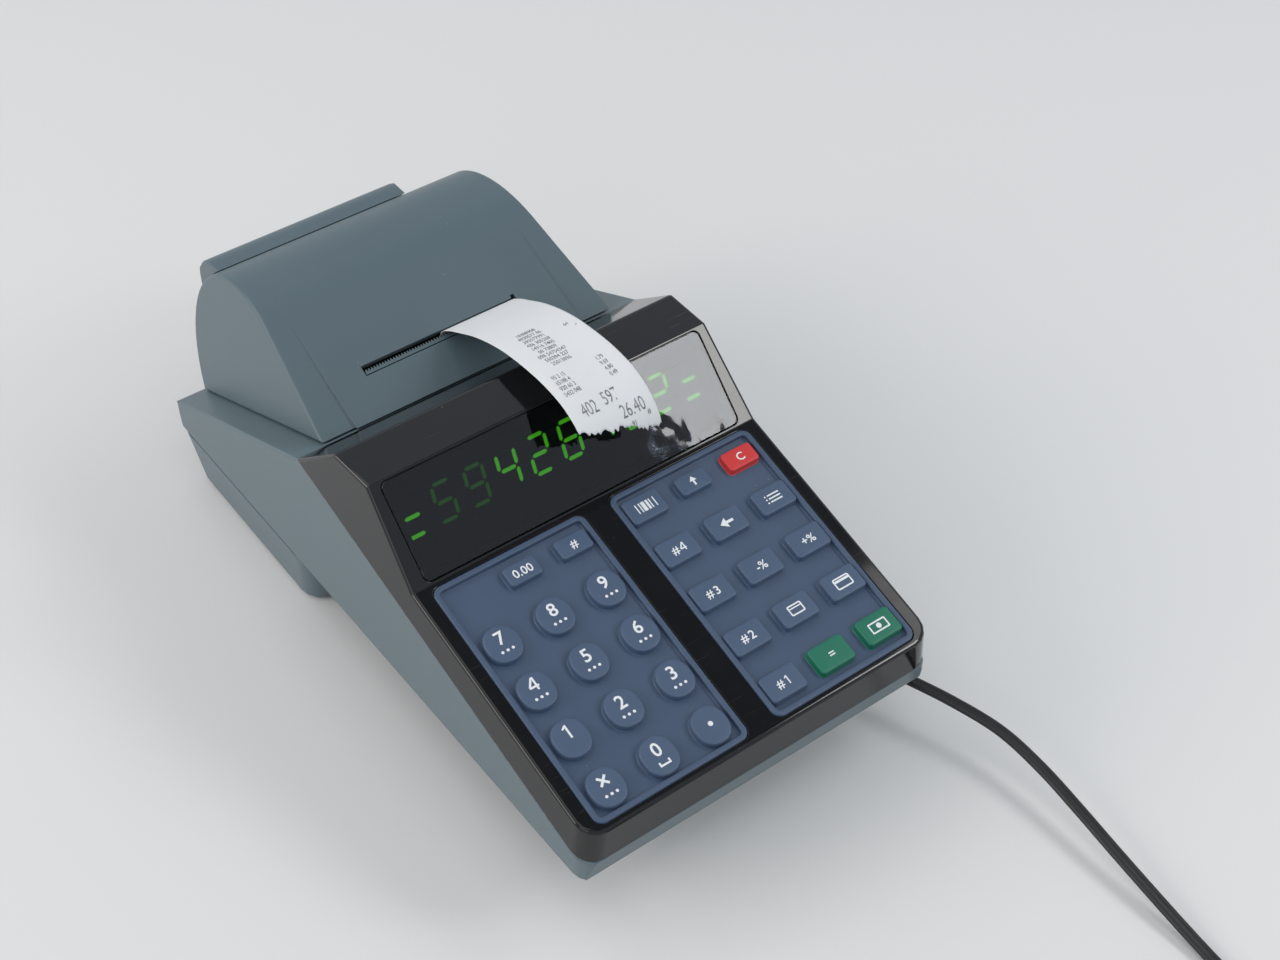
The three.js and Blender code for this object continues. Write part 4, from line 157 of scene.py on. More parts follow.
class Recipe:
    """The nodes of one material, or of the world, in the making."""

    def __init__(self, owner: bpy.types.Material | bpy.types.World, output: str) -> None:
        """Starts the owner's nodes with an output alone.

        Args:
            owner: the material or the world.
            output: the output node's type.
        """
        owner.use_nodes = True
        self.tree = owner.node_tree
        self.tree.nodes.clear()
        self.output = self.node(output)

    def node(self, kind: str, settings: dict[str, str] | None = None,
             values: dict[str | int, Value] | None = None) -> bpy.types.Node:
        """Makes a node.

        Args:
            kind: the node's type.
            settings: its properties, which are set first.
            values: its inputs by name or number: a wire, a socket, a number or a tuple.
        Returns:
            The node.
        """
        made = self.tree.nodes.new(kind)
        for name, setting in (settings or {}).items():
            setattr(made, name, setting)
        for name, value in (values or {}).items():
            socket = made.inputs[name]
            value = value.socket if isinstance(value, Wire) else value
            if isinstance(value, Socket):
                self.tree.links.new(value, socket)
            else:
                socket.default_value = (*value, 1) if socket.type == "RGBA" else value
        return made

    def place(self) -> Socket:
        """Gives the place on the object, in metres."""
        return self.node("ShaderNodeTexCoord").outputs["Object"]

    def parts(self, place: Socket) -> tuple[Wire, Wire, Wire]:
        """Gives the three parts of a place or a direction."""
        split = self.node("ShaderNodeSeparateXYZ", values={0: place})
        return tuple(Wire(self, part) for part in split.outputs)

    def noise(self, patch: float, detail: float = 2, place: Socket | None = None) -> Wire:
        """Gives soft noise, 0 to 1.

        Args:
            patch: the size of one patch in metres, or 1 for a place that is scaled already.
            detail: how many finer layers it has.
            place: where it is read; the place on the object if left out.
        Returns:
            The noise.
        """
        made = self.node("ShaderNodeTexNoise", values={
            "Vector": place or self.place(), "Scale": 1 / patch, "Detail": detail})
        return Wire(self, made.outputs[0])

    def lines(self, scales: Triple, detail: float, turn: float = 0) -> Wire:
        """Gives noise drawn out into lines.

        Args:
            scales: patches in a metre along each axis.
            detail: how many finer layers it has.
            turn: the turn about Z that comes first.
        Returns:
            The noise, 0 to 1.
        """
        mapping = self.node("ShaderNodeMapping", values={
            "Vector": self.place(), "Scale": scales, "Rotation": (0, 0, turn)})
        return self.noise(1, detail, mapping.outputs[0])

    def specks(self, spacing: float, size: float, share: float) -> Wire:
        """Gives scattered specks: 1 on a speck and 0 beside it.

        Args:
            spacing: the distance between specks in metres.
            size: a speck's radius as a share of the spacing.
            share: how many of the places hold one.
        Returns:
            The mask.
        """
        cells = self.node("ShaderNodeTexVoronoi", values={"Vector": self.place(), "Scale": 1 / spacing})
        near = 1 - Wire(self, cells.outputs["Distance"]).above(size * 0.6, size)
        hue = self.node("ShaderNodeSeparateColor", values={0: cells.outputs["Color"]})
        return near * Wire(self, hue.outputs[0]).above(1 - share, 1.01 - share)

    def rings(self, axis: tuple[float, float], layer: float, shift: float = 4, patch: float = 0.006) -> Wire:
        """Gives rings about an axis along X: a sine of the distance from it, shifted by noise.

        Args:
            axis: the axis, as y and z.
            layer: the distance between rings.
            shift: how far the noise moves them, in radians.
            patch: the size of the noise's patches.
        Returns:
            The rings, 0 to 1.
        """
        _, y, z = self.parts(self.place())
        radius = ((y - axis[0]) ** 2 + (z - axis[1]) ** 2) ** 0.5
        return (radius * (2 * pi / layer) + self.noise(patch) * shift).wave() * 0.5 + 0.5

    def runs(self, spacing: float, patch: float) -> Wire:
        """Gives copper runs: a sine along X in some patches and along Y in the others.

        Args:
            spacing: the distance between runs.
            patch: the size of the patches.
        Returns:
            The sine.
        """
        x, y, _ = self.parts(self.place())
        bend = self.noise(patch, 0).above(0.48, 0.52)
        return (((1 - bend) * x + bend * y) * (2 * pi / spacing)).wave()

    def mixed(self, share: Wire | float, first: Colour | Socket, second: Colour | Socket) -> Socket:
        """Mixes two colours by a share."""
        return self.node("ShaderNodeMix", {"data_type": "RGBA"}, {0: share, 6: first, 7: second}).outputs[2]

    def bump(self, height: Wire, depth: float) -> Socket:
        """Raises the surface by a height, 0 to 1, of that depth in metres."""
        return self.node("ShaderNodeBump", values={"Height": height, "Distance": depth}).outputs[0]

    def close(self, kind: str, values: dict[str, Value]) -> None:
        """Joins a shader of that kind and those inputs to the output."""
        self.tree.links.new(self.node(kind, values=values).outputs[0], self.output.inputs[0])


# Finishes

@dataclass(frozen=True)
class Layer:
    """One pattern over a surface: a method of Recipe by name, with its values.

    It steps smoothly between the limits if it has them. It mixes in a tint by its share, where a number stands
    for that many times the coat's own colour, and adds to the roughness.
    """

    pattern: str
    values: tuple
    limits: tuple[float, float] | None = None
    tint: Colour | float = 1.0
    share: float = 0.0
    rough: float = 0.0

    def wire(self, recipe: Recipe) -> Wire:
        """Gives the pattern, 0 to 1."""
        made = getattr(recipe, self.pattern)(*self.values)
        return made.above(*self.limits) if self.limits else made


@dataclass(frozen=True)
class Coat:
    """A finish: its material's name, its colour and roughness, the layers over them and its relief.

    The layers start from the ground's share of the colour. The relief raises the surface by the depth in
    metres, and the others are further inputs of the surface shader by name.
    """

    name: str
    colour: Colour
    roughness: float
    layers: tuple[Layer, ...] = ()
    relief: Layer | None = None
    depth: float = 0.0
    ground: float = 1.0
    others: tuple[tuple[str, float], ...] = ()

    def inputs(self, recipe: Recipe) -> dict[str, Value]:
        """Mixes the layers in, those of one tint together, and raises the relief.

        Args:
            recipe: the material's nodes.
        Returns:
            The surface shader's inputs.
        """
        shares: dict[Colour | float, Wire] = {}
        rough = self.roughness
        for layer in self.layers:
            wire = layer.wire(recipe)
            if layer.share:
                part = wire if layer.share == 1 else wire * layer.share
                shares[layer.tint] = shares[layer.tint] + part if layer.tint in shares else part
            if layer.rough:
                rough = rough + wire * layer.rough
        tone = darker(self.colour, self.ground)
        for tint, share in shares.items():
            tone = recipe.mixed(share, tone, tint if isinstance(tint, tuple) else darker(self.colour, tint))
        relief = {"Normal": recipe.bump(self.relief.wire(recipe), self.depth)} if self.relief else {}
        return {"Base Color": tone, "Roughness": rough, **relief, **dict(self.others)}

    def on(self, piece: Piece) -> Piece:
        """Puts the finish alone on a piece.

        Args:
            piece: the piece.
        Returns:
            The same piece.
        """
        material = bpy.data.materials.get(self.name)
        if material is None:
            material = bpy.data.materials.new(self.name)
            recipe = Recipe(material, "ShaderNodeOutputMaterial")
            recipe.close("ShaderNodeBsdfPrincipled", self.inputs(recipe))
        piece.data.materials.clear()
        piece.data.materials.append(material)
        return piece


@dataclass(frozen=True)
class Glow(Coat):
    """A lit segment: its light, a little mottled, over a faintly green lamp face."""

    strength: float = 1.0
    mottle: Layer = Layer("noise", (0.0012,), tint=0.8)
    face: float = 0.05

    def inputs(self, recipe: Recipe) -> dict[str, Value]:
        """Mixes the light's two tones."""
        light = recipe.mixed(self.mottle.wire(recipe), darker(self.colour, self.mottle.tint), self.colour)
        return {"Base Color": darker(self.colour, self.face), "Roughness": self.roughness,
                "Emission Color": light, "Emission Strength": self.strength}


DUST = (0.5, 0.5, 0.5)
GREEN_LIGHT = (0.17, 1.0, 0.012)

# How much the roughness varies with the clouds
MOULD_ROUGH, RUBBER_ROUGH = 0.1, 0.12

# Patterns that colour a surface and raise it too
FIBRE = ("noise", (0.0007, 4))
RUNS = ("runs", (0.0022, 0.02), (0.35, 0.6))
DRAWN = ("lines", ((120, 9000, 9000), 3))


def moulded(name: str, colour: Colour, roughness: float = 0.5, grain: float = 0.00032,
            depth: float = 0.000022, cloud: float = 0.06) -> Coat:
    """Gives fine spark-eroded plastic: a shallow grain, cloudy tone, faint rubbed streaks and dust."""
    return Coat(name, colour, roughness - MOULD_ROUGH / 2, (
        Layer("noise", (0.035, 3), tint=1 + cloud, share=1, rough=MOULD_ROUGH),
        Layer("lines", ((40, 900, 60), 4, 0.5), (0.62, 0.8), tint=1.5, share=0.07, rough=0.06),
        Layer("specks", (0.006, 0.035, 0.25), tint=(0.6, 0.6, 0.58), share=0.35),
    ), Layer("noise", (grain,)), depth, 1 - cloud)


def polished(name: str, colour: Colour) -> Coat:
    """Gives polished plastic: a slight waviness, finger smears, hair scratches and dust."""
    return Coat(name, colour, 0.07, (
        Layer("noise", (0.018, 3), (0.45, 0.75), rough=0.07),
        Layer("lines", ((70, 2600, 70), 3, 0.9), (0.66, 0.78), tint=DUST, share=0.05, rough=0.08),
        Layer("specks", (0.0085, 0.03, 0.3), tint=DUST, share=0.4, rough=0.5),
    ), Layer("noise", (0.012, 1)), 0.00003)


def silicone(name: str, colour: Colour, roughness: float) -> Coat:
    """Gives soft keypad rubber: matt, a little cloudy, with lint and a faint sheen."""
    return Coat(name, colour, roughness - RUBBER_ROUGH / 2, (
        Layer("noise", (0.009, 3), tint=1.07, share=1, rough=RUBBER_ROUGH),
        Layer("specks", (0.0045, 0.04, 0.22), tint=(0.55, 0.57, 0.6), share=0.4),
    ), Layer("noise", (0.00025,)), 0.000012, 0.93, (("Sheen Weight", 0.12), ("Sheen Roughness", 0.4)))


def smoked(name: str, colour: Colour) -> Coat:
    """Gives clear plastic with a dark tint, slightly wavy, and dust on it."""
    return Coat(name, colour, 0.03, (
        Layer("specks", (0.007, 0.03, 0.3), tint=DUST, share=0.5, rough=0.3),
    ), Layer("noise", (0.011, 1.5)), 0.00016, others=(("Transmission Weight", 1.0), ("IOR", 1.49)))


def worked_metal(name: str, colour: Colour, roughness: float) -> Coat:
    """Gives drawn or anodised metal with fine lines along X and stains."""
    return Coat(name, colour, roughness, (
        Layer(*DRAWN, rough=0.12), Layer("noise", (0.01, 3), tint=1.0, share=1, rough=0.08),
    ), Layer(*DRAWN), 0.000008, 0.9, (("Metallic", 1.0),))


def wound_paper(name: str, colour: Colour, axis: tuple[float, float]) -> Coat:
    """Gives paper wound on a core: its sides show the layers as fine rings about an axis along X."""
    rings = ("rings", (axis, 0.00042))
    return Coat(name, colour, 0.7, (
        Layer(*rings, tint=0.72, share=0.3), Layer("noise", (0.004,), tint=0.72, share=0.2, rough=0.1),
    ), Layer(*rings), 0.00003)


class Finish(Enum):
    """The finishes of this register."""

    SHELL = polished("gloss_black", (0.0058, 0.0058, 0.007))
    HOUSING = moulded("case_grey", from_screen(93, 109, 116), 0.4)
    # The cover's grey is the housing's plastic made darker: painted shade on the dome, the tear bar and the
    # pod.
    COVER = moulded("cover_grey_painted_shade", from_screen(84, 101, 109), 0.38)
    # The mat's blue is the keys' own rubber made darker: painted shade on the mat between the raised keys.
    MAT = silicone("keypad_blue", from_screen(61, 80, 106), 0.46)
    KEY = silicone("key_blue", from_screen(65, 85, 112), 0.44)
    CLEAR_KEY = silicone("key_red", from_screen(205, 50, 50), 0.42)
    TOTAL_KEY = silicone("key_green", from_screen(6, 106, 82), 0.42)
    LEGEND = Coat("legend_white", from_screen(226, 229, 232), 0.5, (
        Layer("noise", (0.0011, 3), (0.55, 0.8), tint=0.6, share=0.35, rough=0.1),))
    WINDOW = smoked("smoked_window", (0.085, 0.11, 0.17))
    MODULE = moulded("lamp_block", (0.006, 0.008, 0.012))
    BRIGHT = Glow("segment_bright", GREEN_LIGHT, 0.5, strength=2.6)
    MIDDLE = Glow("segment_middle", GREEN_LIGHT, 0.5, strength=2.8)
    DIM = Glow("segment_dim", (0.15, 1.0, 0.03), 0.5, strength=0.42)
    PAPER = Coat("receipt_paper", from_screen(222, 224, 227), 0.62, (
        Layer("noise", (0.014,), tint=0.93, share=0.6), Layer(*FIBRE, tint=0.93, share=0.2, rough=0.1),
    ), Layer(*FIBRE), 0.00001)
    INK = Coat("receipt_ink", from_screen(96, 98, 104), 0.6, (
        Layer("noise", (0.0018, 3), (0.3, 0.75), tint=(0.45, 0.46, 0.5), share=0.6, rough=0.1),))
    STEEL = worked_metal("drawn_steel", (0.62, 0.62, 0.61), 0.3)
    HEAT_SINK = worked_metal("anodised_plate", (0.3, 0.3, 0.32), 0.38)
    FRAME = moulded("printer_black", (0.018, 0.019, 0.021), 0.45)
    PLATEN = silicone("platen_rubber", (0.02, 0.02, 0.021), 0.6)
    GEAR = moulded("gear_white", from_screen(222, 219, 208), 0.35, 0.0006, 0.00001, 0.03)
    BOARD = Coat("circuit_board", (0.012, 0.1, 0.035), 0.32, (
        Layer(*RUNS, tint=1.9, share=1, rough=0.08),), Layer(*RUNS), 0.00003)
    BATTERY = moulded("battery_wrap", from_screen(44, 84, 150), 0.3, 0.002, 0.00002, 0.05)
    PAD = silicone("foot_rubber", (0.012, 0.012, 0.0125), 0.7)
    CORD = Coat("cord_vinyl", (0.0085, 0.0085, 0.0095), 0.34, (
        Layer("noise", (0.008, 4), (0.5, 0.8), tint=2.2, share=0.3, rough=0.14),
    ), Layer("noise", (0.0014,)), 0.00002)
    SUPPLY = moulded("supply_black", (0.013, 0.013, 0.0145), 0.42)

    def on(self, piece: Piece) -> Piece:
        """Puts the finish on a piece."""
        return self.value.on(piece)


# Meshes

def shown(data: bpy.types.ID, name: str) -> Piece:
    """Puts a mesh, camera, lamp or text in the scene as an object of its own."""
    made = bpy.data.objects.new(name, data)
    bpy.context.scene.collection.objects.link(made)
    return made


def meshed(name: str, points: Points, faces: list, smooth: bool = True) -> Piece:
    """Makes a piece.

    Args:
        name: its name.
        points: its places, one row each.
        faces: lists of point numbers.
        smooth: whether its faces shade as one skin.
    Returns:
        The piece.
    """
    mesh = bpy.data.meshes.new(name)
    mesh.from_pydata(points.reshape(-1, 3), [], faces)
    mesh.polygons.foreach_set("use_smooth", np.full(len(mesh.polygons), smooth))
    mesh.update()
    return shown(mesh, name)


def grid_faces(rows: int, columns: int, closed: bool) -> list:
    """Gives the quads of a grid.

    Args:
        rows: how many rings it has.
        columns: how many points each ring has.
        closed: whether a ring's last point joins its first.
    Returns:
        The quads, each four point numbers, in order of rows.
    """
    ring = np.arange(columns if closed else columns - 1)
    base = (np.arange(rows - 1) * columns)[:, None]
    after = (ring + 1) % columns
    quads = np.stack([base + ring, base + after, base + columns + after, base + columns + ring], axis=-1)
    return quads.reshape(-1, 4).tolist()


def skin(name: str, rings: Points, smooth: bool = True) -> Piece:
    """Joins closed rings into a tube with flat ends.

    Args:
        name: the piece's name.
        rings: places, as rings by points by three.
        smooth: whether its faces shade as one skin.
    Returns:
        The piece, its faces turned outward.
    """
    rows, columns = rings.shape[:2]
    faces = grid_faces(rows, columns, True)
    faces += [list(range(columns))[::-1], list(range((rows - 1) * columns, rows * columns))]
    piece = meshed(name, rings, faces, smooth)
    work = bmesh.new()
    work.from_mesh(piece.data)
    bmesh.ops.recalc_face_normals(work, faces=work.faces)
    work.to_mesh(piece.data)
    work.free()
    return piece


def corner_places(mesh: bpy.types.Mesh) -> Points:
    """Gives a mesh's corner places, one row each."""
    flat = np.empty(len(mesh.vertices) * 3)
    mesh.vertices.foreach_get("co", flat)
    return flat.reshape(-1, 3)


def node_points(node: str) -> Points:
    """Gives a solid's corner places, one row each."""
    return corner_places(frame["nodes"][node].data)


def middle_and_size(*measures: Points) -> tuple[Points, Points]:
    """Gives the middle and the size of each of some measures."""
    return (np.array([(values.min() + values.max()) / 2 for values in measures]),
            np.array([np.ptp(values) for values in measures]))


def bare_mesh(node: str, name: str) -> bpy.types.Mesh:
    """Copies a solid's triangles with their shared corners merged.

    Args:
        node: the solid.
        name: the new mesh's name.
    Returns:
        The mesh.
    """
    data = frame["nodes"][node].data
    data.calc_loop_triangles()
    corners = np.empty(len(data.loop_triangles) * 3, dtype=np.int64)
    data.loop_triangles.foreach_get("vertices", corners)
    places = corner_places(data)
    keys = np.round(places / WELD).astype(np.int64)
    _, first, shared = np.unique(keys, axis=0, return_index=True, return_inverse=True)
    triangles = shared.reshape(-1)[corners].reshape(-1, 3)
    mesh = bpy.data.meshes.new(name)
    mesh.from_pydata(places[first], [], triangles.tolist())
    return mesh


def number_flats(work: bmesh.types.BMesh) -> bmesh.types.BMLayerItem:
    """Numbers each set of joined faces that share a plane.

    Args:
        work: the mesh.
    Returns:
        The layer that holds the numbers.
    """
    layer = work.faces.layers.int.new("flat")
    count = 0
    for start in work.faces:
        if start[layer]:
            continue
        count += 1
        start[layer] = count
        waiting = [start]
        while waiting:
            for edge in waiting.pop().edges:
                if edge.is_manifold and edge.calc_face_angle(pi) < FLAT_ANGLE:
                    for face in edge.link_faces:
                        if not face[layer]:
                            face[layer] = count
                            waiting.append(face)
    return layer


def rims(faces: list, layer: bmesh.types.BMLayerItem, number: int) -> list[Points]:
    """Finds the edge loops round a flat set.

    Args:
        faces: the set's faces.
        layer: the layer that holds the sets' numbers.
        number: the set's number.
    Returns:
        Each loop's corner places.
    """
    left = {edge for face in faces for edge in face.edges
            if any(other[layer] != number for other in edge.link_faces)}
    found = []
    while left:
        waiting = [left.pop()]
        corners = set()
        while waiting:
            for corner in waiting.pop().verts:
                if corner not in corners:
                    corners.add(corner)
                    joined = left.intersection(corner.link_edges)
                    left -= joined
                    waiting += joined
        found.append(np.array([corner.co for corner in corners]))
    return found


def open_holes(work: bmesh.types.BMesh) -> None:
    """Cuts each flat set across its holes, so that no face needs a hole.

    The cut runs through a hole's middle, square to X, or square to Y where the set itself is, and its edges
    are marked as seams.

    Args:
        work: the mesh.
    """
    layer = number_flats(work)
    sets: dict[int, list] = {}
    for face in work.faces:
        sets.setdefault(face[layer], []).append(face)
    for number, faces in sets.items():
        loops = rims(faces, layer, number)
        axis = 1 if abs(faces[0].normal.x) > 0.7 else 0
        loops.sort(key=lambda corners: float(np.ptp(corners, axis=0).sum()))
        cuts: list[float] = []
        for corners in loops[:-1]:
            low, high = corners[:, axis].min(), corners[:, axis].max()
            if not any(low < cut < high for cut in cuts):
                cuts.append(float(low + high) / 2)
        for cut in cuts:
            inside = [face for face in work.faces if face[layer] == number]
            edges = {edge for face in inside for edge in face.edges}
            corners = {corner for face in inside for corner in face.verts}
            place, normal = Vector(), Vector()
            place[axis], normal[axis] = cut, 1
            made = bmesh.ops.bisect_plane(
                work, geom=[*inside, *edges, *corners], dist=1e-8, plane_co=place, plane_no=normal)
            for item in made["geom_cut"]:
                if isinstance(item, bmesh.types.BMEdge):
                    item.seam = True


@dataclass(frozen=True)
class Rounding:
    """How a rigid piece's creases are rounded."""

    width: float
    crease: float = 30.0
    segments: int = 2
    least_edge: float = 0.0004


def settle(piece: Piece, body: str, slot: str, *nodes: str) -> Piece:
    """Sets what a piece rides on and hides the solids that it stands for.

    Args:
        piece: the piece.
        body: the body.
        slot: not used.
        nodes: the solids that it stands for.
    Returns:
        The piece.
    """
    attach(piece, body)
    if nodes:
        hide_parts(*nodes)
    log.info("%s rides on %s", piece.name, body)
    return piece


def dressed(node: str, finish: Finish | Coat, slot: str, rounding: Rounding,
            shares: Callable[[Points], Points] | None = None) -> Piece:
    """Makes a rounded copy of a rigid solid that stands for it.

    Flat neighbours join into one face, each crease sharper than the rounding's angle gets a weight, and the
    Bevel rounds it by the width times that weight.

    Args:
        node: the solid.
        finish: the finish of the copy.
        slot: the record's material slot.
        rounding: the rounding.
        shares: gives each crease's share of the width from its middle; all of it if left out.
    Returns:
        The piece, which rides on the solid's body.
    """
    name = f"{node}_dressed"
    mesh = bare_mesh(node, name)
    work = bmesh.new()
    work.from_mesh(mesh)
    layer = work.edges.layers.float.new("bevel_weight_edge")
    open_holes(work)
    bmesh.ops.dissolve_limit(
        work, angle_limit=FLAT_ANGLE, verts=work.verts, edges=work.edges, delimit={"SEAM"})
    limit = radians(rounding.crease)
    creases = [edge for edge in work.edges if edge.is_manifold and edge.calc_face_angle() > limit]
    middles = np.array([(edge.verts[0].co + edge.verts[1].co) / 2 for edge in creases]).reshape(-1, 3)
    lengths = np.array([edge.calc_length() for edge in creases])
    weights = (lengths > rounding.least_edge) * (np.ones(len(creases)) if shares is None else shares(middles))
    for edge, weight in zip(creases, weights):
        edge[layer] = weight
        edge.smooth = False
    for face in work.faces:
        face.smooth = True
    work.to_mesh(mesh)
    work.free()
    piece = shown(mesh, name)
    bevel = piece.modifiers.new("rounding", "BEVEL")
    bevel.limit_method = "WEIGHT"
    bevel.offset_type = "WIDTH"
    bevel.width = rounding.width
    bevel.segments = rounding.segments
    bevel.use_clamp_overlap = False
    shading = piece.modifiers.new("flat_shading", "WEIGHTED_NORMAL")
    shading.keep_sharp = True
    return settle(finish.on(piece), frame["nodes"][node]["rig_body"], slot, node)


def finished(node: str, finish: Finish) -> None:
    """Gives a solid whose shape is right its finish."""
    finish.on(frame["nodes"][node])
    log.info("%s finished", node)


@dataclass(frozen=True)
class Slope:
    """A flat face of the case that leans back: u runs along X, v up the slope and w out of it."""

    foot: tuple[float, float]
    angle: float

    def place(self, u: Points, v: Points, w: Points) -> Points:
        """Gives places: (u, foot + v along the slope + w across it)."""
        y = self.foot[0] + v * cos(self.angle) - w * sin(self.angle)
        z = self.foot[1] + v * sin(self.angle) + w * cos(self.angle)
        return np.stack(np.broadcast_arrays(u, y, z), axis=-1)

    def local(self, places: Points) -> tuple[Points, Points, Points]:
        """Gives u, v and w of places."""
        y, z = places[..., 1] - self.foot[0], places[..., 2] - self.foot[1]
        along = y * cos(self.angle) + z * sin(self.angle)
        out = z * cos(self.angle) - y * sin(self.angle)
        return places[..., 0], along, out

    def point(self, v: float) -> tuple[float, float]:
        """Gives the place up the slope in the side view."""
        return self.foot[0] + v * cos(self.angle), self.foot[1] + v * sin(self.angle)


@dataclass(frozen=True)
class Case:
    """The case's slopes, worked out from its solids and the same angles."""

    keyboard_angle: float = radians(15.27)
    display_angle: float = radians(45.5)
    keyboard_share: float = 0.3622
    display_share: float = 0.1358
    front_edge: float = 0.0466

    @property
    def length(self) -> float:
        """Gives the body's length."""
        return 2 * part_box("printer_cover")[1].y

    @property
    def display_length(self) -> float:
        """Gives the display slope's length."""
        return self.display_share * self.length

    @property
    def keyboard(self) -> Slope:
        """Gives the keyboard's slope, with its foot at the display's."""
        front = Slope((-self.length / 2, self.front_edge), self.keyboard_angle)
        return Slope(front.point(self.keyboard_share * self.length), self.keyboard_angle)

    @property
    def display(self) -> Slope:
        """Gives the display's slope."""
        return Slope(self.keyboard.foot, self.display_angle)


CASE = Case()


def stacked(name: str, slope: Slope, outlines: list[Points], heights: Points, smooth: bool = True) -> Piece:
    """Joins flat outlines, each at its height over a slope, into a closed piece.

    Args:
        name: the piece's name.
        slope: the slope.
        outlines: places on the slope, one row of two each, in the same number each time.
        heights: each outline's height.
        smooth: whether its faces shade as one skin.
    Returns:
        The piece.
    """
    flat = np.array(outlines)
    return skin(name, slope.place(flat[..., 0], flat[..., 1], heights[:, None]), smooth)


def quarter_bend(steps: int = 4) -> tuple[Points, Points]:
    """Gives one minus the cosine and one minus the sine over a quarter turn."""
    bend = np.linspace(0, pi / 2, steps + 1)
    return 1 - np.cos(bend), 1 - np.sin(bend)


# Flat print

def rounded_outline(width: float, height: float, corner: float, steps: int = 6) -> Points:
    """Gives a rounded rectangle: four quarter circles about the corners' centres.

    Args:
        width: its size across.
        height: its size up.
        corner: the corners' radius.
        steps: steps in each corner.
    Returns:
        Places, one row of two each, anticlockwise.
    """
    quarter = np.linspace(0, pi / 2, steps + 1)
    angles = (np.arange(4)[:, None] * pi / 2 + quarter).reshape(-1)
    middle = (np.arange(4) * pi / 2 + pi / 4).repeat(steps + 1)
    side = np.sign(np.stack([np.cos(middle), np.sin(middle)], axis=-1))
    centre = side * [width / 2 - corner, height / 2 - corner]
    return centre + corner * np.stack([np.cos(angles), np.sin(angles)], axis=-1)


def turned(points: Points, turn: float) -> Points:
    """Gives flat places turned by an angle."""
    return points @ np.array([[cos(turn), sin(turn)], [-sin(turn), cos(turn)]])


class Print:
    """Flat shapes collected on a plane and then laid on a surface as one mesh."""

    def __init__(self) -> None:
        """Starts with nothing."""
        self.points: list[Points] = []
        self.faces: list[list[int]] = []
        self.count = 0

    def shape(self, points: Points, faces: list | None = None) -> None:
        """Adds a shape.

        Args:
            points: its places, one row of two each.
            faces: lists of point numbers; one face round them all if left out.
        """
        faces = faces or [list(range(len(points)))]
        self.faces += [[self.count + corner for corner in face] for face in faces]
        self.points.append(points)
        self.count += len(points)

    def bar(self, x: float, y: float, width: float, height: float, turn: float = 0) -> None:
        """Adds a bar about its centre, turned by an angle."""
        corners = np.array([[-1, -1], [1, -1], [1, 1], [-1, 1]]) * [width / 2, height / 2]
        self.shape(turned(corners, turn) + [x, y])

    def disc(self, x: float, y: float, radius: float, steps: int = 16) -> None:
        """Adds a disc."""
        angles = np.arange(steps) * 2 * pi / steps
        self.shape(np.stack([x + radius * np.cos(angles), y + radius * np.sin(angles)], axis=-1))

    def frame(self, x: float, y: float, width: float, height: float, line: float, corner: float) -> None:
        """Adds a rounded frame of one line's thickness."""
        outer = rounded_outline(width, height, corner)
        inner = rounded_outline(width - 2 * line, height - 2 * line, max(corner - line, line / 4))
        self.shape(np.concatenate([outer, inner]) + [x, y], grid_faces(2, len(outer), True))

    def arrow(self, turn: float, size: float) -> None:
        """Adds an arrow of that length that points along an angle: a head and a shaft."""
        for outline in (((1, 0), (0, 0.75), (0, -0.75)), ((0.05, 0.2), (-1, 0.2), (-1, -0.2), (0.05, -0.2))):
            self.shape(turned(np.array(outline) * size / 2, turn))

    def text(self, words: str, x: float, y: float, height: float, bold: float = 0, narrow: float = 1) -> None:
        """Adds plain digits or signs, centred.

        Args:
            words: the digits or signs.
            x: the centre across.
            y: the centre up.
            height: a digit's height.
            bold: how much each stroke grows, as a share of the height.
            narrow: the share of its usual width.
        """
        curve = bpy.data.curves.new("print", "FONT")
        curve.body = words
        curve.align_x = "CENTER"
        curve.resolution_u = 3
        curve.offset = bold
        holder = shown(curve, "print")
        graph = bpy.context.evaluated_depsgraph_get()
        mesh = bpy.data.meshes.new_from_object(holder.evaluated_get(graph))
        faces = [list(polygon.vertices) for polygon in mesh.polygons]
        scale = height / DIGIT_HEIGHT_SHARE
        places = corner_places(mesh)[:, :2] * [scale * narrow, scale]
        bpy.data.objects.remove(holder)
        bpy.data.curves.remove(curve)
        bpy.data.meshes.remove(mesh)
        self.shape(places + [x, y - height / 2], faces)

    def figure(self, digit: str, x: float, y: float, height: float) -> None:
        """Adds one bold digit; a one and a four are drawn in strokes.

        Args:
            digit: the digit.
            x: the centre across.
            y: the centre up.
            height: its height.
        """
        line = 0.15 * height
        if digit == "1":
            self.bar(x + 0.05 * height, y, line, height)
            self.bar(x - 0.08 * height, y + 0.36 * height, line * 0.9, 0.36 * height, -0.95)
        elif digit == "4":
            self.bar(x + 0.16 * height, y, line, height)
            self.bar(x - 0.02 * height, y - 0.2 * height, 0.72 * height, line)
            self.bar(x - 0.12 * height, y + 0.15 * height, line, 0.78 * height, -0.62)
        else:
            self.text(digit, x, y, height, 0.016)

    def lay(self, name: str, surface: Callable[[Points, Points], Points]) -> Piece:
        """Lays all shapes on a surface.

        Args:
            name: the piece's name.
            surface: gives places from the two flat measures.
        Returns:
            The piece.
        """
        flat = np.concatenate(self.points)
        return meshed(name, surface(flat[:, 0], flat[:, 1]), self.faces, False)


# The lead

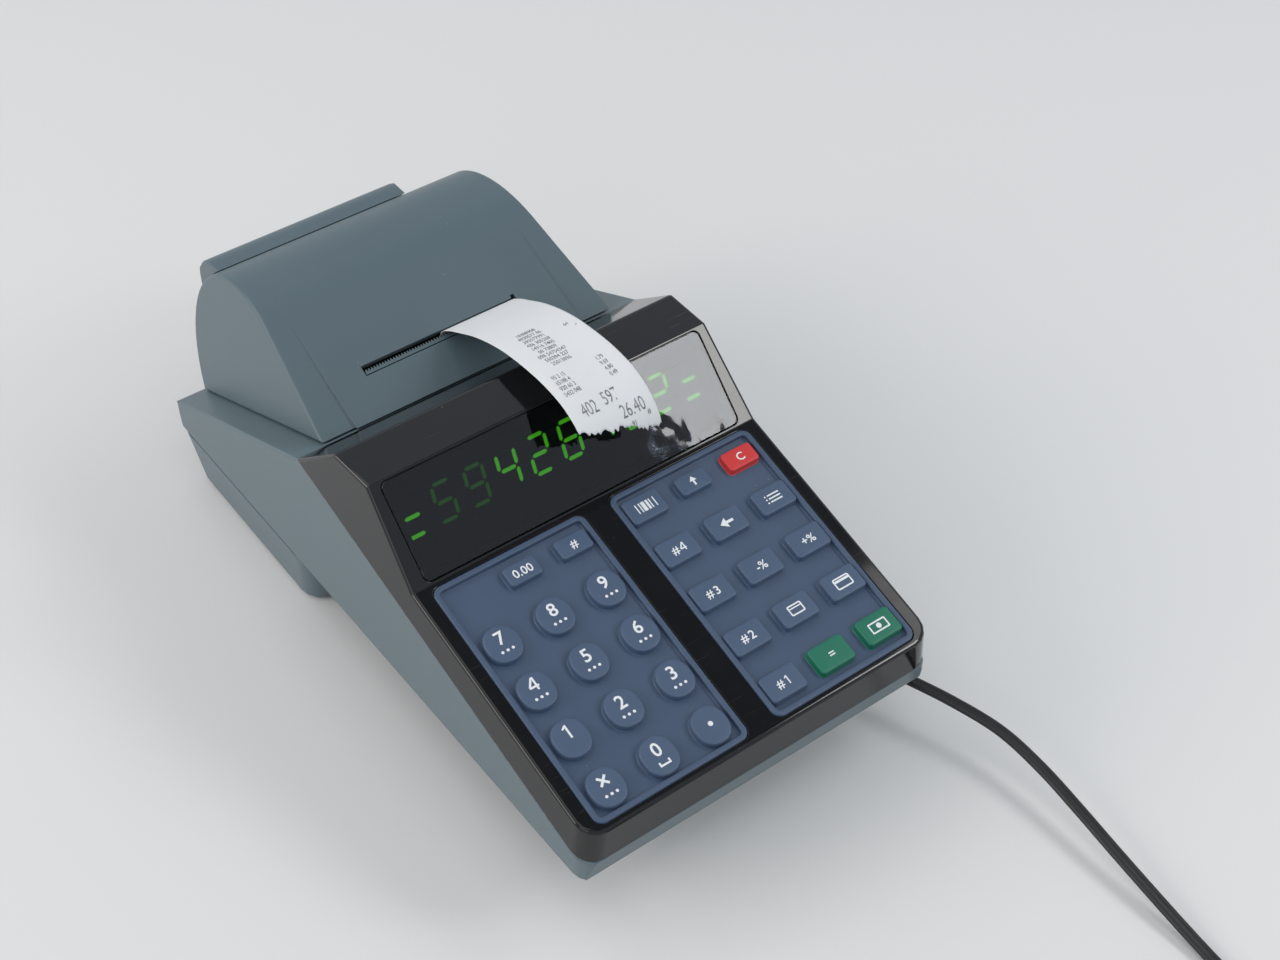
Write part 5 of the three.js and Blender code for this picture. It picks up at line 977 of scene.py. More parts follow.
def smooth_route(points: Points, steps: int) -> Points:
    """Runs a smooth curve through points.

    Each span is a cubic through its four nearest points, with knots apart by the square root of their
    distance, as the frame's own cords are drawn.

    Args:
        points: the points, one row each.
        steps: steps in each span.
    Returns:
        Places along the curve.
    """
    ends = np.concatenate([[2 * points[0] - points[1]], points, [2 * points[-1] - points[-2]]])
    spans = (ends[:-3], ends[1:-2], ends[2:-1], ends[3:])
    first, middle, last = (
        np.linalg.norm(after - before, axis=1)[:, None, None] ** 0.5
        for before, after in zip(spans, spans[1:]))
    p0, p1, p2, p3 = (part[:, None, :] for part in spans)
    leave = ((p1 - p0) / first - (p2 - p0) / (first + middle) + (p2 - p1) / middle) * middle
    arrive = ((p2 - p1) / middle - (p3 - p1) / (middle + last) + (p3 - p2) / last) * middle
    t = np.linspace(0, 1, steps, endpoint=False)[None, :, None]
    curve = ((2 * t**3 - 3 * t**2 + 1) * p1 + (t**3 - 2 * t**2 + t) * leave
             + (3 * t**2 - 2 * t**3) * p2 + (t**3 - t**2) * arrive)
    return np.concatenate([curve.reshape(-1, 3), points[-1:]])


@dataclass
class SupplyLead:
    """The flat twin lead: from the plug under the case to a coil beside a plug-top supply."""

    width: float = 0.004
    thickness: float = 0.0022
    waist: float = 0.7
    groove: float = 0.28
    flatness: float = 0.7
    sides: int = 20
    length: float = 1.48
    joint: float = 0.00005
    route: tuple = (
        (0.0234, -0.010, 0.0118), (0.028, -0.025, 0.0128), (0.037, -0.045, 0.0142), (0.0465, -0.066, 0.0154),
        (0.0548, -0.087, 0.0162), (0.0625, -0.110, 0.0164), (0.070, -0.130, 0.0156), (0.0752, -0.147, 0.0138),
        (0.0767, -0.163, 0.0114), (0.0761, -0.180, 0.0093), (0.0751, -0.196, 0.0073), (0.0744, -0.211, 0.0053),
        (0.0739, -0.225, 0.0034), (0.0735, -0.238, 0.0020), (0.0731, -0.250, 0.00155),
    )
    coil_centre: tuple = (0.046, -0.273)
    coil_radius: float = 0.027
    coil_pitch: float = 0.0046
    layer_height: float = 0.0028
    layer_turns: float = 2.25
    layers: int = 4
    turns: float = 8.3
    steps: int = 36
    lead_steps: int = 10
    tail_steps: int = 6
    low: float = 0.0015
    tail_shares: tuple = ((-0.7926, -0.5704), (-0.9481, -0.4222))
    supply_side: float = 0.008
    relief: float = 0.006
    tail_y_share: float = -0.3704

    def lead_line(self) -> Points:
        """Runs the middle line from the plug's relief to the coil.

        Returns:
            Places along it.
        """
        low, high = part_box("supply_plug")
        axis = ((low.x + high.x) / 2, (low.z + high.z) / 2)
        start = low.y - self.joint
        end_x, end_y = self.coil_centre[0] + self.coil_radius, self.coil_centre[1] + self.width
        points = np.array([
            (axis[0], start, axis[1]), (axis[0], start - self.width, axis[1]), *self.route,
            (end_x, end_y + 2 * self.width, self.low), (end_x, end_y, self.low)])
        return smooth_route(points, self.lead_steps)

    def coil_line(self) -> Points:
        """Winds the coil's middle line: it spirals in and out again and climbs a layer where it turns back.

        Returns:
            Places along it, to the supply's relief.
        """
        turns = np.arange(0, self.turns, 1 / self.steps)
        phase = turns / self.layer_turns
        layer = np.floor(phase)
        share = phase - layer
        depth = np.where(layer % 2 == 0, share, 1 - share)
        near = np.minimum(np.round(phase), self.layers - 1)
        along = np.clip((turns - near * self.layer_turns) * 2 + 0.5, 0, 1)
        climb = np.where(near > 0, near - 1 + along * along * (3 - 2 * along), 0)
        radius = self.coil_radius - self.coil_pitch * self.layer_turns * depth
        angle = -2 * pi * turns
        x, y = self.coil_centre
        height = self.low + climb * self.layer_height
        line = np.stack([x + radius * np.cos(angle), y + radius * np.sin(angle), height], axis=-1)
        top = self.low + (self.layers - 1) * self.layer_height
        tail = [(x + ahead * self.coil_radius, y + aside * self.coil_radius, top)
                for ahead, aside in self.tail_shares]
        end_x, end_y = self.supply_side + self.relief, y + self.tail_y_share * self.coil_radius
        last = [(end_x + self.width, end_y, top), (end_x + self.joint, end_y, top)]
        return np.concatenate([line, smooth_route(np.array([line[-1], *tail, *last]), self.tail_steps)[1:]])

    def tube(self, line: Points) -> Points:
        """Carries the twin section along a line, with its width level.

        The section is an oval whose half thickness shrinks towards the groove between the two cores.

        Args:
            line: the middle line.
        Returns:
            The rings.
        """
        ahead = np.gradient(line, axis=0)
        ahead /= np.linalg.norm(ahead, axis=1, keepdims=True)
        across = np.stack([-ahead[:, 1], ahead[:, 0], np.zeros(len(line))], axis=-1)
        across /= np.linalg.norm(across, axis=1, keepdims=True)
        up = np.cross(ahead, across)
        angles = np.arange(self.sides) * 2 * pi / self.sides
        shrink = 1 - (1 - self.waist) * np.exp(-((np.cos(angles) / self.groove) ** 2))
        wide = self.width / 2 * np.cos(angles)
        bulge = np.sign(np.sin(angles)) * np.abs(np.sin(angles)) ** self.flatness
        thick = self.thickness / 2 * bulge * shrink
        return line[:, None] + across[:, None] * wide[None, :, None] + up[:, None] * thick[None, :, None]

    def build(self) -> None:
        """Makes the cord, its plug and the supply."""
        lead = self.lead_line()
        line = np.concatenate([lead, self.coil_line()])
        cord = skin("supply_cord", self.tube(line))
        settle(Finish.CORD.on(cord), CASE_BODY, "cord", "cord_lead", "cord_coil")
        plug = dressed("supply_plug", Finish.CORD, "cord", Rounding(0.0005, 40))
        supply = dressed("power_supply", Finish.SUPPLY, "supply", Rounding(0.0009, 32))


# Studio

@dataclass(frozen=True)
class Lamp:
    """A soft lamp: its place and target, width and height, the light that leaves a square metre, and tint."""

    name: str
    eye: Triple
    target: Triple
    size: tuple[float, float]
    light: float
    tint: Colour

    def hang(self) -> None:
        """Hangs it, turned to its target."""
        data = bpy.data.lights.new(self.name, "AREA")
        data.shape = "RECTANGLE"
        data.size, data.size_y = self.size
        data.energy = self.light * pi * self.size[0] * self.size[1]
        data.color = self.tint
        lamp = shown(data, self.name)
        lamp.location = self.eye
        lamp.rotation_euler = (Vector(self.target) - Vector(self.eye)).to_track_quat("-Z", "Y").to_euler()


@dataclass
class Studio:
    """The camera at the photograph's view, a pale floor and soft light."""

    lens: float = 56.948
    sensor: float = 36.0
    farthest: float = 20.0
    heading: float = 0.629364838
    tilt: float = 0.771825556
    roll: float = -0.00868425
    eye: Triple = (-0.24388, -0.39813, 0.503046)
    floor_size: float = 16.0
    floor_colour: Colour = from_screen(222, 222, 222)
    floor_cloud: float = 0.4
    room: Colour = (0.5, 0.545, 0.59)
    overhead: tuple[float, float] = (0.76, 0.9)
    overhead_share: float = 0.25
    lamps: tuple[Lamp, ...] = (
        Lamp("ceiling_left", (-0.365, 0.3, 1.8), (-0.365, 0.3, 0), (1.57, 2.4), 0.97, (1.0, 0.99, 0.97)),
        Lamp("ceiling_right", (1.42, -0.65, 1.8), (1.42, -0.65, 0), (0.8, 1.3), 2.6, (1.0, 0.99, 0.97)),
        Lamp("left_wall", (-1.5, 0.75, 0.85), (0, 0, 0.05), (1.4, 1.0), 3.35, (1.0, 0.93, 0.86)),
        Lamp("left_front", (-1.5, -0.9, 0.9), (0, 0, 0.05), (1.0, 0.8), 1.0, (1.0, 0.95, 0.9)),
        Lamp("front_card", (0.67, -0.775, 0.78), (0.05, -0.03, 0.08), (0.26, 0.36), 8.6, (1.0, 1.0, 0.97)),
    )

    def camera(self) -> None:
        """Sets the camera: it is rolled, leaned by its tilt below level and turned by its heading."""
        data = bpy.data.cameras.new("camera")
        data.lens = self.lens
        data.sensor_width = self.sensor
        data.clip_end = self.farthest
        camera = shown(data, "camera")
        turns = ((-self.heading, "Z"), (pi / 2 - self.tilt, "X"), (self.roll, "Z"))
        heading, lean, roll = (Matrix.Rotation(angle, 4, axis) for angle, axis in turns)
        camera.matrix_world = Matrix.Translation(self.eye) @ heading @ lean @ roll
        bpy.context.scene.camera = camera

    def light(self) -> None:
        """Sets the room's soft tone, darker straight above, the floor and the lamps."""
        world = bpy.data.worlds.new("room")
        bpy.context.scene.world = world
        recipe = Recipe(world, "ShaderNodeOutputWorld")
        up = recipe.parts(recipe.node("ShaderNodeTexCoord").outputs["Generated"])[2]
        tone = recipe.mixed(up.above(*self.overhead), self.room, darker(self.room, self.overhead_share))
        recipe.close("ShaderNodeBackground", {"Color": tone})
        corners = np.array([[-1, -1, 0], [1, -1, 0], [1, 1, 0], [-1, 1, 0]]) * self.floor_size / 2
        floor = meshed("floor", corners, [[0, 1, 2, 3]], False)
        clouds = Layer("noise", (self.floor_cloud,), tint=1.0, share=1, rough=0.05)
        Coat("floor_paper", self.floor_colour, 0.6, (clouds,), ground=0.985).on(floor)
        for lamp in self.lamps:
            lamp.hang()


# Keyboard

DIGIT_SIZE = 0.0044
DIGIT_UP = 0.0021
SIGN_SIZE = 0.0029
SIGN_BOLD = 0.014
THIN_LINE = 0.0005
CODE_BARS = ((-7, 1), (-4, 1), (-1, 3), (2.5, 2), (5, 1), (8.5, 1))
CODE_STEP = 0.00042
DOTS = tuple(("disc", step * 0.0018, -0.0025, 0.00048) for step in (-1, 0, 1))
ROUND_KEYS = tuple(f"key_{name}" for name in (*"0123456789", "times", "point"))
KEY_STYLES = {
    "key_clear": (Finish.CLEAR_KEY, "red_key"),
    **{node: (Finish.TOTAL_KEY, "green_key") for node in ("key_subtotal", "key_cash")}}


def digit_mark(digit: str) -> tuple:
    """Gives a digit above a key's middle."""
    return ("figure", digit, 0, DIGIT_UP, DIGIT_SIZE)


def sign_mark(words: str, x: float = 0) -> tuple:
    """Gives plain signs in one row."""
    return ("text", words, x, 0, SIGN_SIZE, SIGN_BOLD)


# Each key's mark: the strokes of a Print by name, with their values.
MARKS: dict[str, tuple[tuple, ...]] = {
    "key_price": (sign_mark("0.00"),),
    "key_item": (sign_mark("#"),),
    **{f"key_{digit}": (digit_mark(digit), *DOTS) for digit in "78945623"},
    "key_1": (digit_mark("1"),),
    "key_times": (*(("bar", 0, 0.0020, 0.0040, 0.0008, turn) for turn in (pi / 4, -pi / 4)), *DOTS),
    "key_0": (digit_mark("0"), ("bar", 0, -0.0031, 0.0038, 0.0006),
              *(("bar", side * 0.0016, -0.0024, 0.0006, 0.0010) for side in (-1, 1))),
    "key_point": (("disc", 0, 0.0004, 0.0008, 20),),
    "key_code": tuple(("bar", place * CODE_STEP, 0, width * CODE_STEP, 0.0034) for place, width in CODE_BARS),
    "key_up": (("arrow", pi / 2, 0.0034),),
    "key_clear": (sign_mark("C"),),
    **{f"key_item_{digit}": (sign_mark("#", -0.0013), ("figure", digit, 0.0015, 0, SIGN_SIZE))
       for digit in "4321"},
    "key_correct": (("arrow", pi, 0.0048),),
    "key_mode": tuple(stroke for up in (-0.0012, 0, 0.0012) for stroke in (
        ("bar", 0.0004, up, 0.0044, THIN_LINE), ("disc", -0.0026, up, 0.0003))),
    "key_discount": (sign_mark("-%"),),
    "key_surcharge": (sign_mark("+%"),),
    "key_returns": (("frame", 0, 0, 0.0052, 0.0036, THIN_LINE, 0.0006), ("bar", 0, 0.0006, 0.0050, 0.0004)),
    "key_pay": (("frame", 0, 0, 0.0062, 0.0040, THIN_LINE, 0.0007), ("bar", 0, 0.0008, 0.0060, 0.0008)),
    "key_subtotal": (sign_mark("="),),
    "key_cash": (("frame", 0, 0, 0.0066, 0.0036, THIN_LINE, 0.0004), ("disc", 0, 0, 0.0009)),
}


@dataclass(frozen=True)
class KeyShape:
    """A key's profile in its own slope: grow is the distance outside the solid's outline."""

    base_grow: float = 0.0003
    floor: float = -0.0012
    fillet: float = 0.0005
    draft: float = 0.00008
    edge: float = 0.00055
    crown: float = 0.00008

    def levels(self, bottom: float, top: float) -> tuple[Points, Points]:
        """Gives the side's profile.

        It runs up the socket, round a hollow fillet, up a drafted side and round the top edge.

        Args:
            bottom: the lowest height.
            top: the highest height.
        Returns:
            Each level's grow and height.
        """
        rise, run = quarter_bend()
        grow = np.concatenate([[self.base_grow], self.base_grow * run, -self.draft - self.edge * rise])
        height = np.concatenate([
            [bottom], self.floor + self.fillet * rise, top - self.crown - self.edge * run])
        return grow, height


@dataclass
class Keypads:
    """Two rubber mats and their keys, with plain marks on them."""

    shape: KeyShape = KeyShape()
    corner: float = 0.0013
    least_corner: float = 0.0004
    roundness: float = 0.86
    round_steps: int = 48
    corner_steps: int = 8
    crown_rings: int = 8
    crown_end: float = 0.08
    print_lift: float = 0.00005
    mat_corner: float = 0.0032
    least_mat_corner: float = 0.0008
    rim_width: float = 0.0019
    rim_round: float = 0.0005
    rim_find: float = 0.0002
    floor_fillet: float = 0.0004

    def outline(self, half: Points, round_key: bool, grow: float) -> Points:
        """Gives a key's outline: an oval of a power a little under one, or a rounded rectangle.

        Args:
            half: half its width and height.
            round_key: whether it is the oval.
            grow: the distance outside it.
        Returns:
            Places, one row of two each.
        """
        size = half + grow
        if round_key:
            angles = np.arange(self.round_steps) * 2 * pi / self.round_steps
            wave = np.stack([np.cos(angles), np.sin(angles)], axis=-1)
            return size * np.sign(wave) * np.abs(wave) ** self.roundness
        return rounded_outline(*(2 * size), max(self.corner + grow, self.least_corner), self.corner_steps)

    def key(self, node: str) -> None:
        """Makes a key over its solid, and its mark.

        Args:
            node: the key's solid.
        """
        u, v, w = CASE.keyboard.local(node_points(node))
        centre, size = middle_and_size(u, v)
        grow, height = self.shape.levels(w.min(), w.max())
        rings = [self.outline(size / 2, node in ROUND_KEYS, value) for value in grow]
        shares = np.linspace(1, self.crown_end, self.crown_rings)[1:]
        heights = np.concatenate([height, height[-1] + self.shape.crown * (1 - shares**2)])
        outlines = [ring + centre for ring in rings] + [rings[-1] * share + centre for share in shares]
        finish, slot = KEY_STYLES.get(node, (Finish.KEY, "key"))
        body = frame["nodes"][node]["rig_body"]
        cap = stacked(f"{node}_cap", CASE.keyboard, outlines, heights)
        settle(finish.on(cap), body, slot, node)
        top, reach = heights[-1] + self.print_lift, rings[-1].max(axis=0)

        def surface(x: Points, y: Points) -> Points:
            """Gives places just above the crown, which falls with the square of the share of the way out."""
            fall = self.shape.crown * np.clip((x / reach[0]) ** 2 + (y / reach[1]) ** 2, 0, 1)
            return CASE.keyboard.place(x + centre[0], y + centre[1], top - fall)

        mark = Print()
        for stroke, *values in MARKS[node]:
            getattr(mark, stroke)(*values)
        settle(Finish.LEGEND.on(mark.lay(f"{cap.name}_mark", surface)), body, slot)

    def mat(self, node: str) -> None:
        """Makes a mat with its raised rim, as rounded rectangles that follow the rim's section inward.

        Args:
            node: the mat's solid.
        """
        u, v, w = CASE.keyboard.local(node_points(node))
        rim = w > w.max() - self.rim_find
        centre, size = middle_and_size(u[rim], v[rim])
        rise, run = quarter_bend()
        turn, top, floor = self.rim_round, w.max(), self.shape.floor
        inward = np.concatenate([
            [0], turn * rise, self.rim_width - turn * run, self.rim_width + self.floor_fillet * rise])
        height = np.concatenate([
            [w.min()], top - turn * run, top - turn * rise, floor + self.floor_fillet * run])
        outlines = [centre + rounded_outline(
            *(size - 2 * step), max(self.mat_corner - step, self.least_mat_corner), self.corner_steps)
            for step in inward]
        sheet = stacked(f"{node}_sheet", CASE.keyboard, outlines, height)
        settle(Finish.MAT.on(sheet), CASE_BODY, "keypad", node)

    def build(self) -> None:
        """Makes the mats and the keys."""
        for side in ("left", "right"):
            self.mat(f"keypad_mat_{side}")
        for node in MARKS:
            self.key(node)


# Display

class Segment(Enum):
    """The seven strokes of a digit: across and up in half widths and half heights, and whether upright."""

    TOP = (0, 1, False)
    UPPER_RIGHT = (1, 0.5, True)
    LOWER_RIGHT = (1, -0.5, True)
    BOTTOM = (0, -1, False)
    LOWER_LEFT = (-1, -0.5, True)
    UPPER_LEFT = (-1, 0.5, True)
    MIDDLE = (0, 0, False)


T, UR, LR, B, LL, UL, M = Segment
LIT: dict[str, tuple[Segment, ...]] = {
    "0": (T, UR, LR, B, LL, UL), "2": (T, UR, M, LL, B), "4": (UL, M, UR, LR), "5": (T, UL, M, LR, B),
    "6": (T, UL, M, LR, B, LL), "9": (T, UL, UR, M, LR, B), "=": (M, B),
}


@dataclass
class Display:
    """The ten-digit lamp block behind its smoked window."""

    figures: str = "=59426402="
    levels: tuple[Finish, ...] = (
        Finish.BRIGHT, *[Finish.DIM] * 2, *[Finish.BRIGHT] * 3, *[Finish.MIDDLE] * 4)
    pitch_share: float = 0.0977
    aside: float = -0.001
    height: float = 0.0112
    width: float = 0.0062
    middle_share: float = 0.587
    lean: float = 0.16
    line: float = 0.0012
    gap: float = 0.00045
    lift: float = 0.00006
    window_corner: float = 0.0022
    window_edge: float = 0.00012
    corner_steps: int = 8

    def window(self) -> None:
        """Makes the window: a flat plate with rounded corners and a fine chamfer in front."""
        u, v, w = CASE.display.local(node_points("display_window"))
        centre, size = middle_and_size(u, v)
        outlines = [centre + rounded_outline(*(size - 2 * step), self.window_corner - step, self.corner_steps)
                    for step in (0, 0, self.window_edge)]
        heights = np.array([w.min(), w.max() - self.window_edge, w.max()])
        plate = stacked("display_window_plate", CASE.display, outlines, heights, False)
        settle(Finish.WINDOW.on(plate), CASE_BODY, "window", "display_window")

    def stroke(self, marks: Print, segment: Segment, x: float, y: float) -> None:
        """Adds one stroke: a bar with pointed ends, leaned with the digit.

        Args:
            marks: where it goes.
            segment: which stroke.
            x: the digit's centre across.
            y: the digit's centre up.
        """
        across, up, upright = segment.value
        reach = (self.height / 4 if upright else self.width / 2) - self.gap
        thick = self.line / 2
        bar = np.array([
            [reach, 0], [reach - thick, thick], [thick - reach, thick], [-reach, 0], [thick - reach, -thick],
            [reach - thick, -thick]])
        bar = bar[:, ::-1] * [1, -1] if upright else bar
        place = bar + [across * self.width / 2, up * self.height / 2]
        marks.shape(place + np.stack([place[:, 1] * self.lean + x, np.full(len(place), y)], axis=-1))

    def build(self) -> None:
        """Makes the window, the lamp block and the lit strokes."""
        low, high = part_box("display_window")
        self.window()
        finished("display_module", Finish.MODULE)
        slope = CASE.display
        depth = slope.local(node_points("display_module"))[2].max() + self.lift
        pitch = self.pitch_share * (high.x - low.x)
        middle = self.middle_share * CASE.display_length
        for level in dict.fromkeys(self.levels):
            marks = Print()
            for k, (figure, lit) in enumerate(zip(self.figures, self.levels)):
                x = self.aside + (k - (len(self.figures) - 1) / 2) * pitch
                for segment in LIT[figure] if lit is level else ():
                    self.stroke(marks, segment, x, middle)
            piece = marks.lay(level.value.name.replace("segment", "digits"),
                              lambda x, y: slope.place(x, y, np.full(len(x), depth)))
            settle(level.on(piece), CASE_BODY, "board")


# Case and cover

@dataclass
class Shells:
    """The top shell, the housing, the tray, the printer cover and the pod."""

    shell_rounding: float = 0.0015
    case_rounding: float = 0.0012
    cover_rounding: float = 0.0014
    draft: float = 0.138
    deck_angle: float = radians(25)
    cover_angle: float = radians(22.9)
    tooth: float = 0.0011
    on_slope: float = 0.0003
    wall_slack: float = 0.0004
    wall_share: float = 0.22
    crest_step: float = 0.002
    side_depth: float = 0.0045
    front_depth: float = 0.0016
    ridge_depth: float = 0.001
    inner_share: float = 0.2
    housing_side: float = 0.0625
    housing_top: float = 0.037
    top_share: float = 0.4
    inside_share: float = 0.1
    tray_side: float = 0.0628
    tray_ends: tuple[float, float] = (-0.118, 0.1195)
    tray_under: float = 0.0015
    tray_share: float = 0.3
    pod_end: float = 0.0002
    pod_hump: tuple[float, float] = (0.1178, 0.1235)

    def shell_shares(self, middles: Points) -> Points:
        """Gives creases on the shell's outer side edges, front and ridge the full width, others less.

        Args:
            middles: the creases' middles.
        Returns:
            Each crease's share of the width.
        """
        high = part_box("top_shell")[1]
        _, v, w = CASE.keyboard.local(middles)
        _, _, out = CASE.display.local(middles)
        behind = middles[:, 1] > CASE.display.point(CASE.display_length)[0] + self.crest_step
        outer = np.abs(middles[:, 0]) > high.x - self.side_depth
        front = (v < self.front_depth - CASE.keyboard_share * CASE.length) & (np.abs(w) < self.on_slope)
        ridge = behind & (middles[:, 2] > high.z - self.ridge_depth)
        main = outer & ((np.abs(w) < self.on_slope) | (np.abs(out) < self.on_slope) | behind) | front | ridge
        return np.where(main, 1, self.inner_share)

    def housing_shares(self, middles: Points) -> Points:
        """Gives creases on the housing's sides the full width, those on top less and those inside least."""
        inner = np.where(middles[:, 2] > self.housing_top, self.top_share, self.inside_share)
        return np.where(np.abs(middles[:, 0]) > self.housing_side, 1, inner)

    def tray_shares(self, middles: Points) -> Points:
        """Gives creases under the tray the full width, those outside less and those inside nothing."""
        x, y, z = np.abs(middles[:, 0]), middles[:, 1], middles[:, 2]
        front, rear = self.tray_ends
        outside = (x > self.tray_side) | (y > rear) | (y < front)
        return np.where(z < self.tray_under, 1, outside * self.tray_share)

    def pod_shares(self, middles: Points) -> Points:
        """Gives the pod's end creases behind the cover's crest the full width and the others nothing."""
        low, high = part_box("customer_pod")
        end = np.minimum(middles[:, 0] - low.x, high.x - middles[:, 0]) < self.pod_end
        near, far = self.pod_hump
        return end * (middles[:, 1] > near) * (middles[:, 1] < far) * 1.0

    def reach(self, places: Points) -> Points:
        """Gives how far out places lie from the cover's leaning side walls, up to a constant."""
        above = places[:, 1] * sin(self.deck_angle) + places[:, 2] * cos(self.deck_angle)
        return np.abs(places[:, 0]) + self.draft * above

    def cover_shares(self, middles: Points) -> Points:
        """Gives creases on the cover's side walls the full width and the others less."""
        wall = self.reach(node_points("printer_cover")).max() - self.wall_slack
        return np.where(self.reach(middles) > wall, 1, self.wall_share)

    def comb(self) -> None:
        """Makes the tear bar, its teeth cut back below so that the slot's dark shows between them."""
        slope = Slope((0, 0), self.cover_angle)
        mesh = bare_mesh("tear_bar", "tear_bar_comb")
        u, v, w = slope.local(corner_places(mesh))
        under = (w < w.max() - self.tooth / 2) & (v > v.max() - self.tooth / 2)
        mesh.vertices.foreach_set("co", slope.place(u, v - under * self.tooth, w).reshape(-1))
        settle(Finish.COVER.on(shown(mesh, mesh.name)), COVER_BODY, "cover", "tear_bar")

    def build(self) -> None:
        """Makes them."""
        shell, cover = (Rounding(width, 28, 3) for width in (self.shell_rounding, self.cover_rounding))
        case, pad = Rounding(self.case_rounding, 28), Rounding(0.0003, 40)
        dressed("top_shell", Finish.SHELL, "gloss_shell", shell, self.shell_shares)
        dressed("housing", Finish.HOUSING, "housing", case, self.housing_shares)
        dressed("base_tray", Finish.HOUSING, "tray", case, self.tray_shares)
        dressed("printer_cover", Finish.COVER, "cover", cover, self.cover_shares)
        dressed("customer_pod", Finish.COVER, "cover", Rounding(0.001), self.pod_shares)
        dressed("customer_window", Finish.WINDOW, "window", Rounding(0.0002))
        self.comb()
        dressed("hinge_pin", Finish.STEEL, "steel", Rounding(0.0002, 40))
        for node in ("rear_pad", "front_pad"):
            dressed(node, Finish.PAD, "pad", pad)


# Receipt

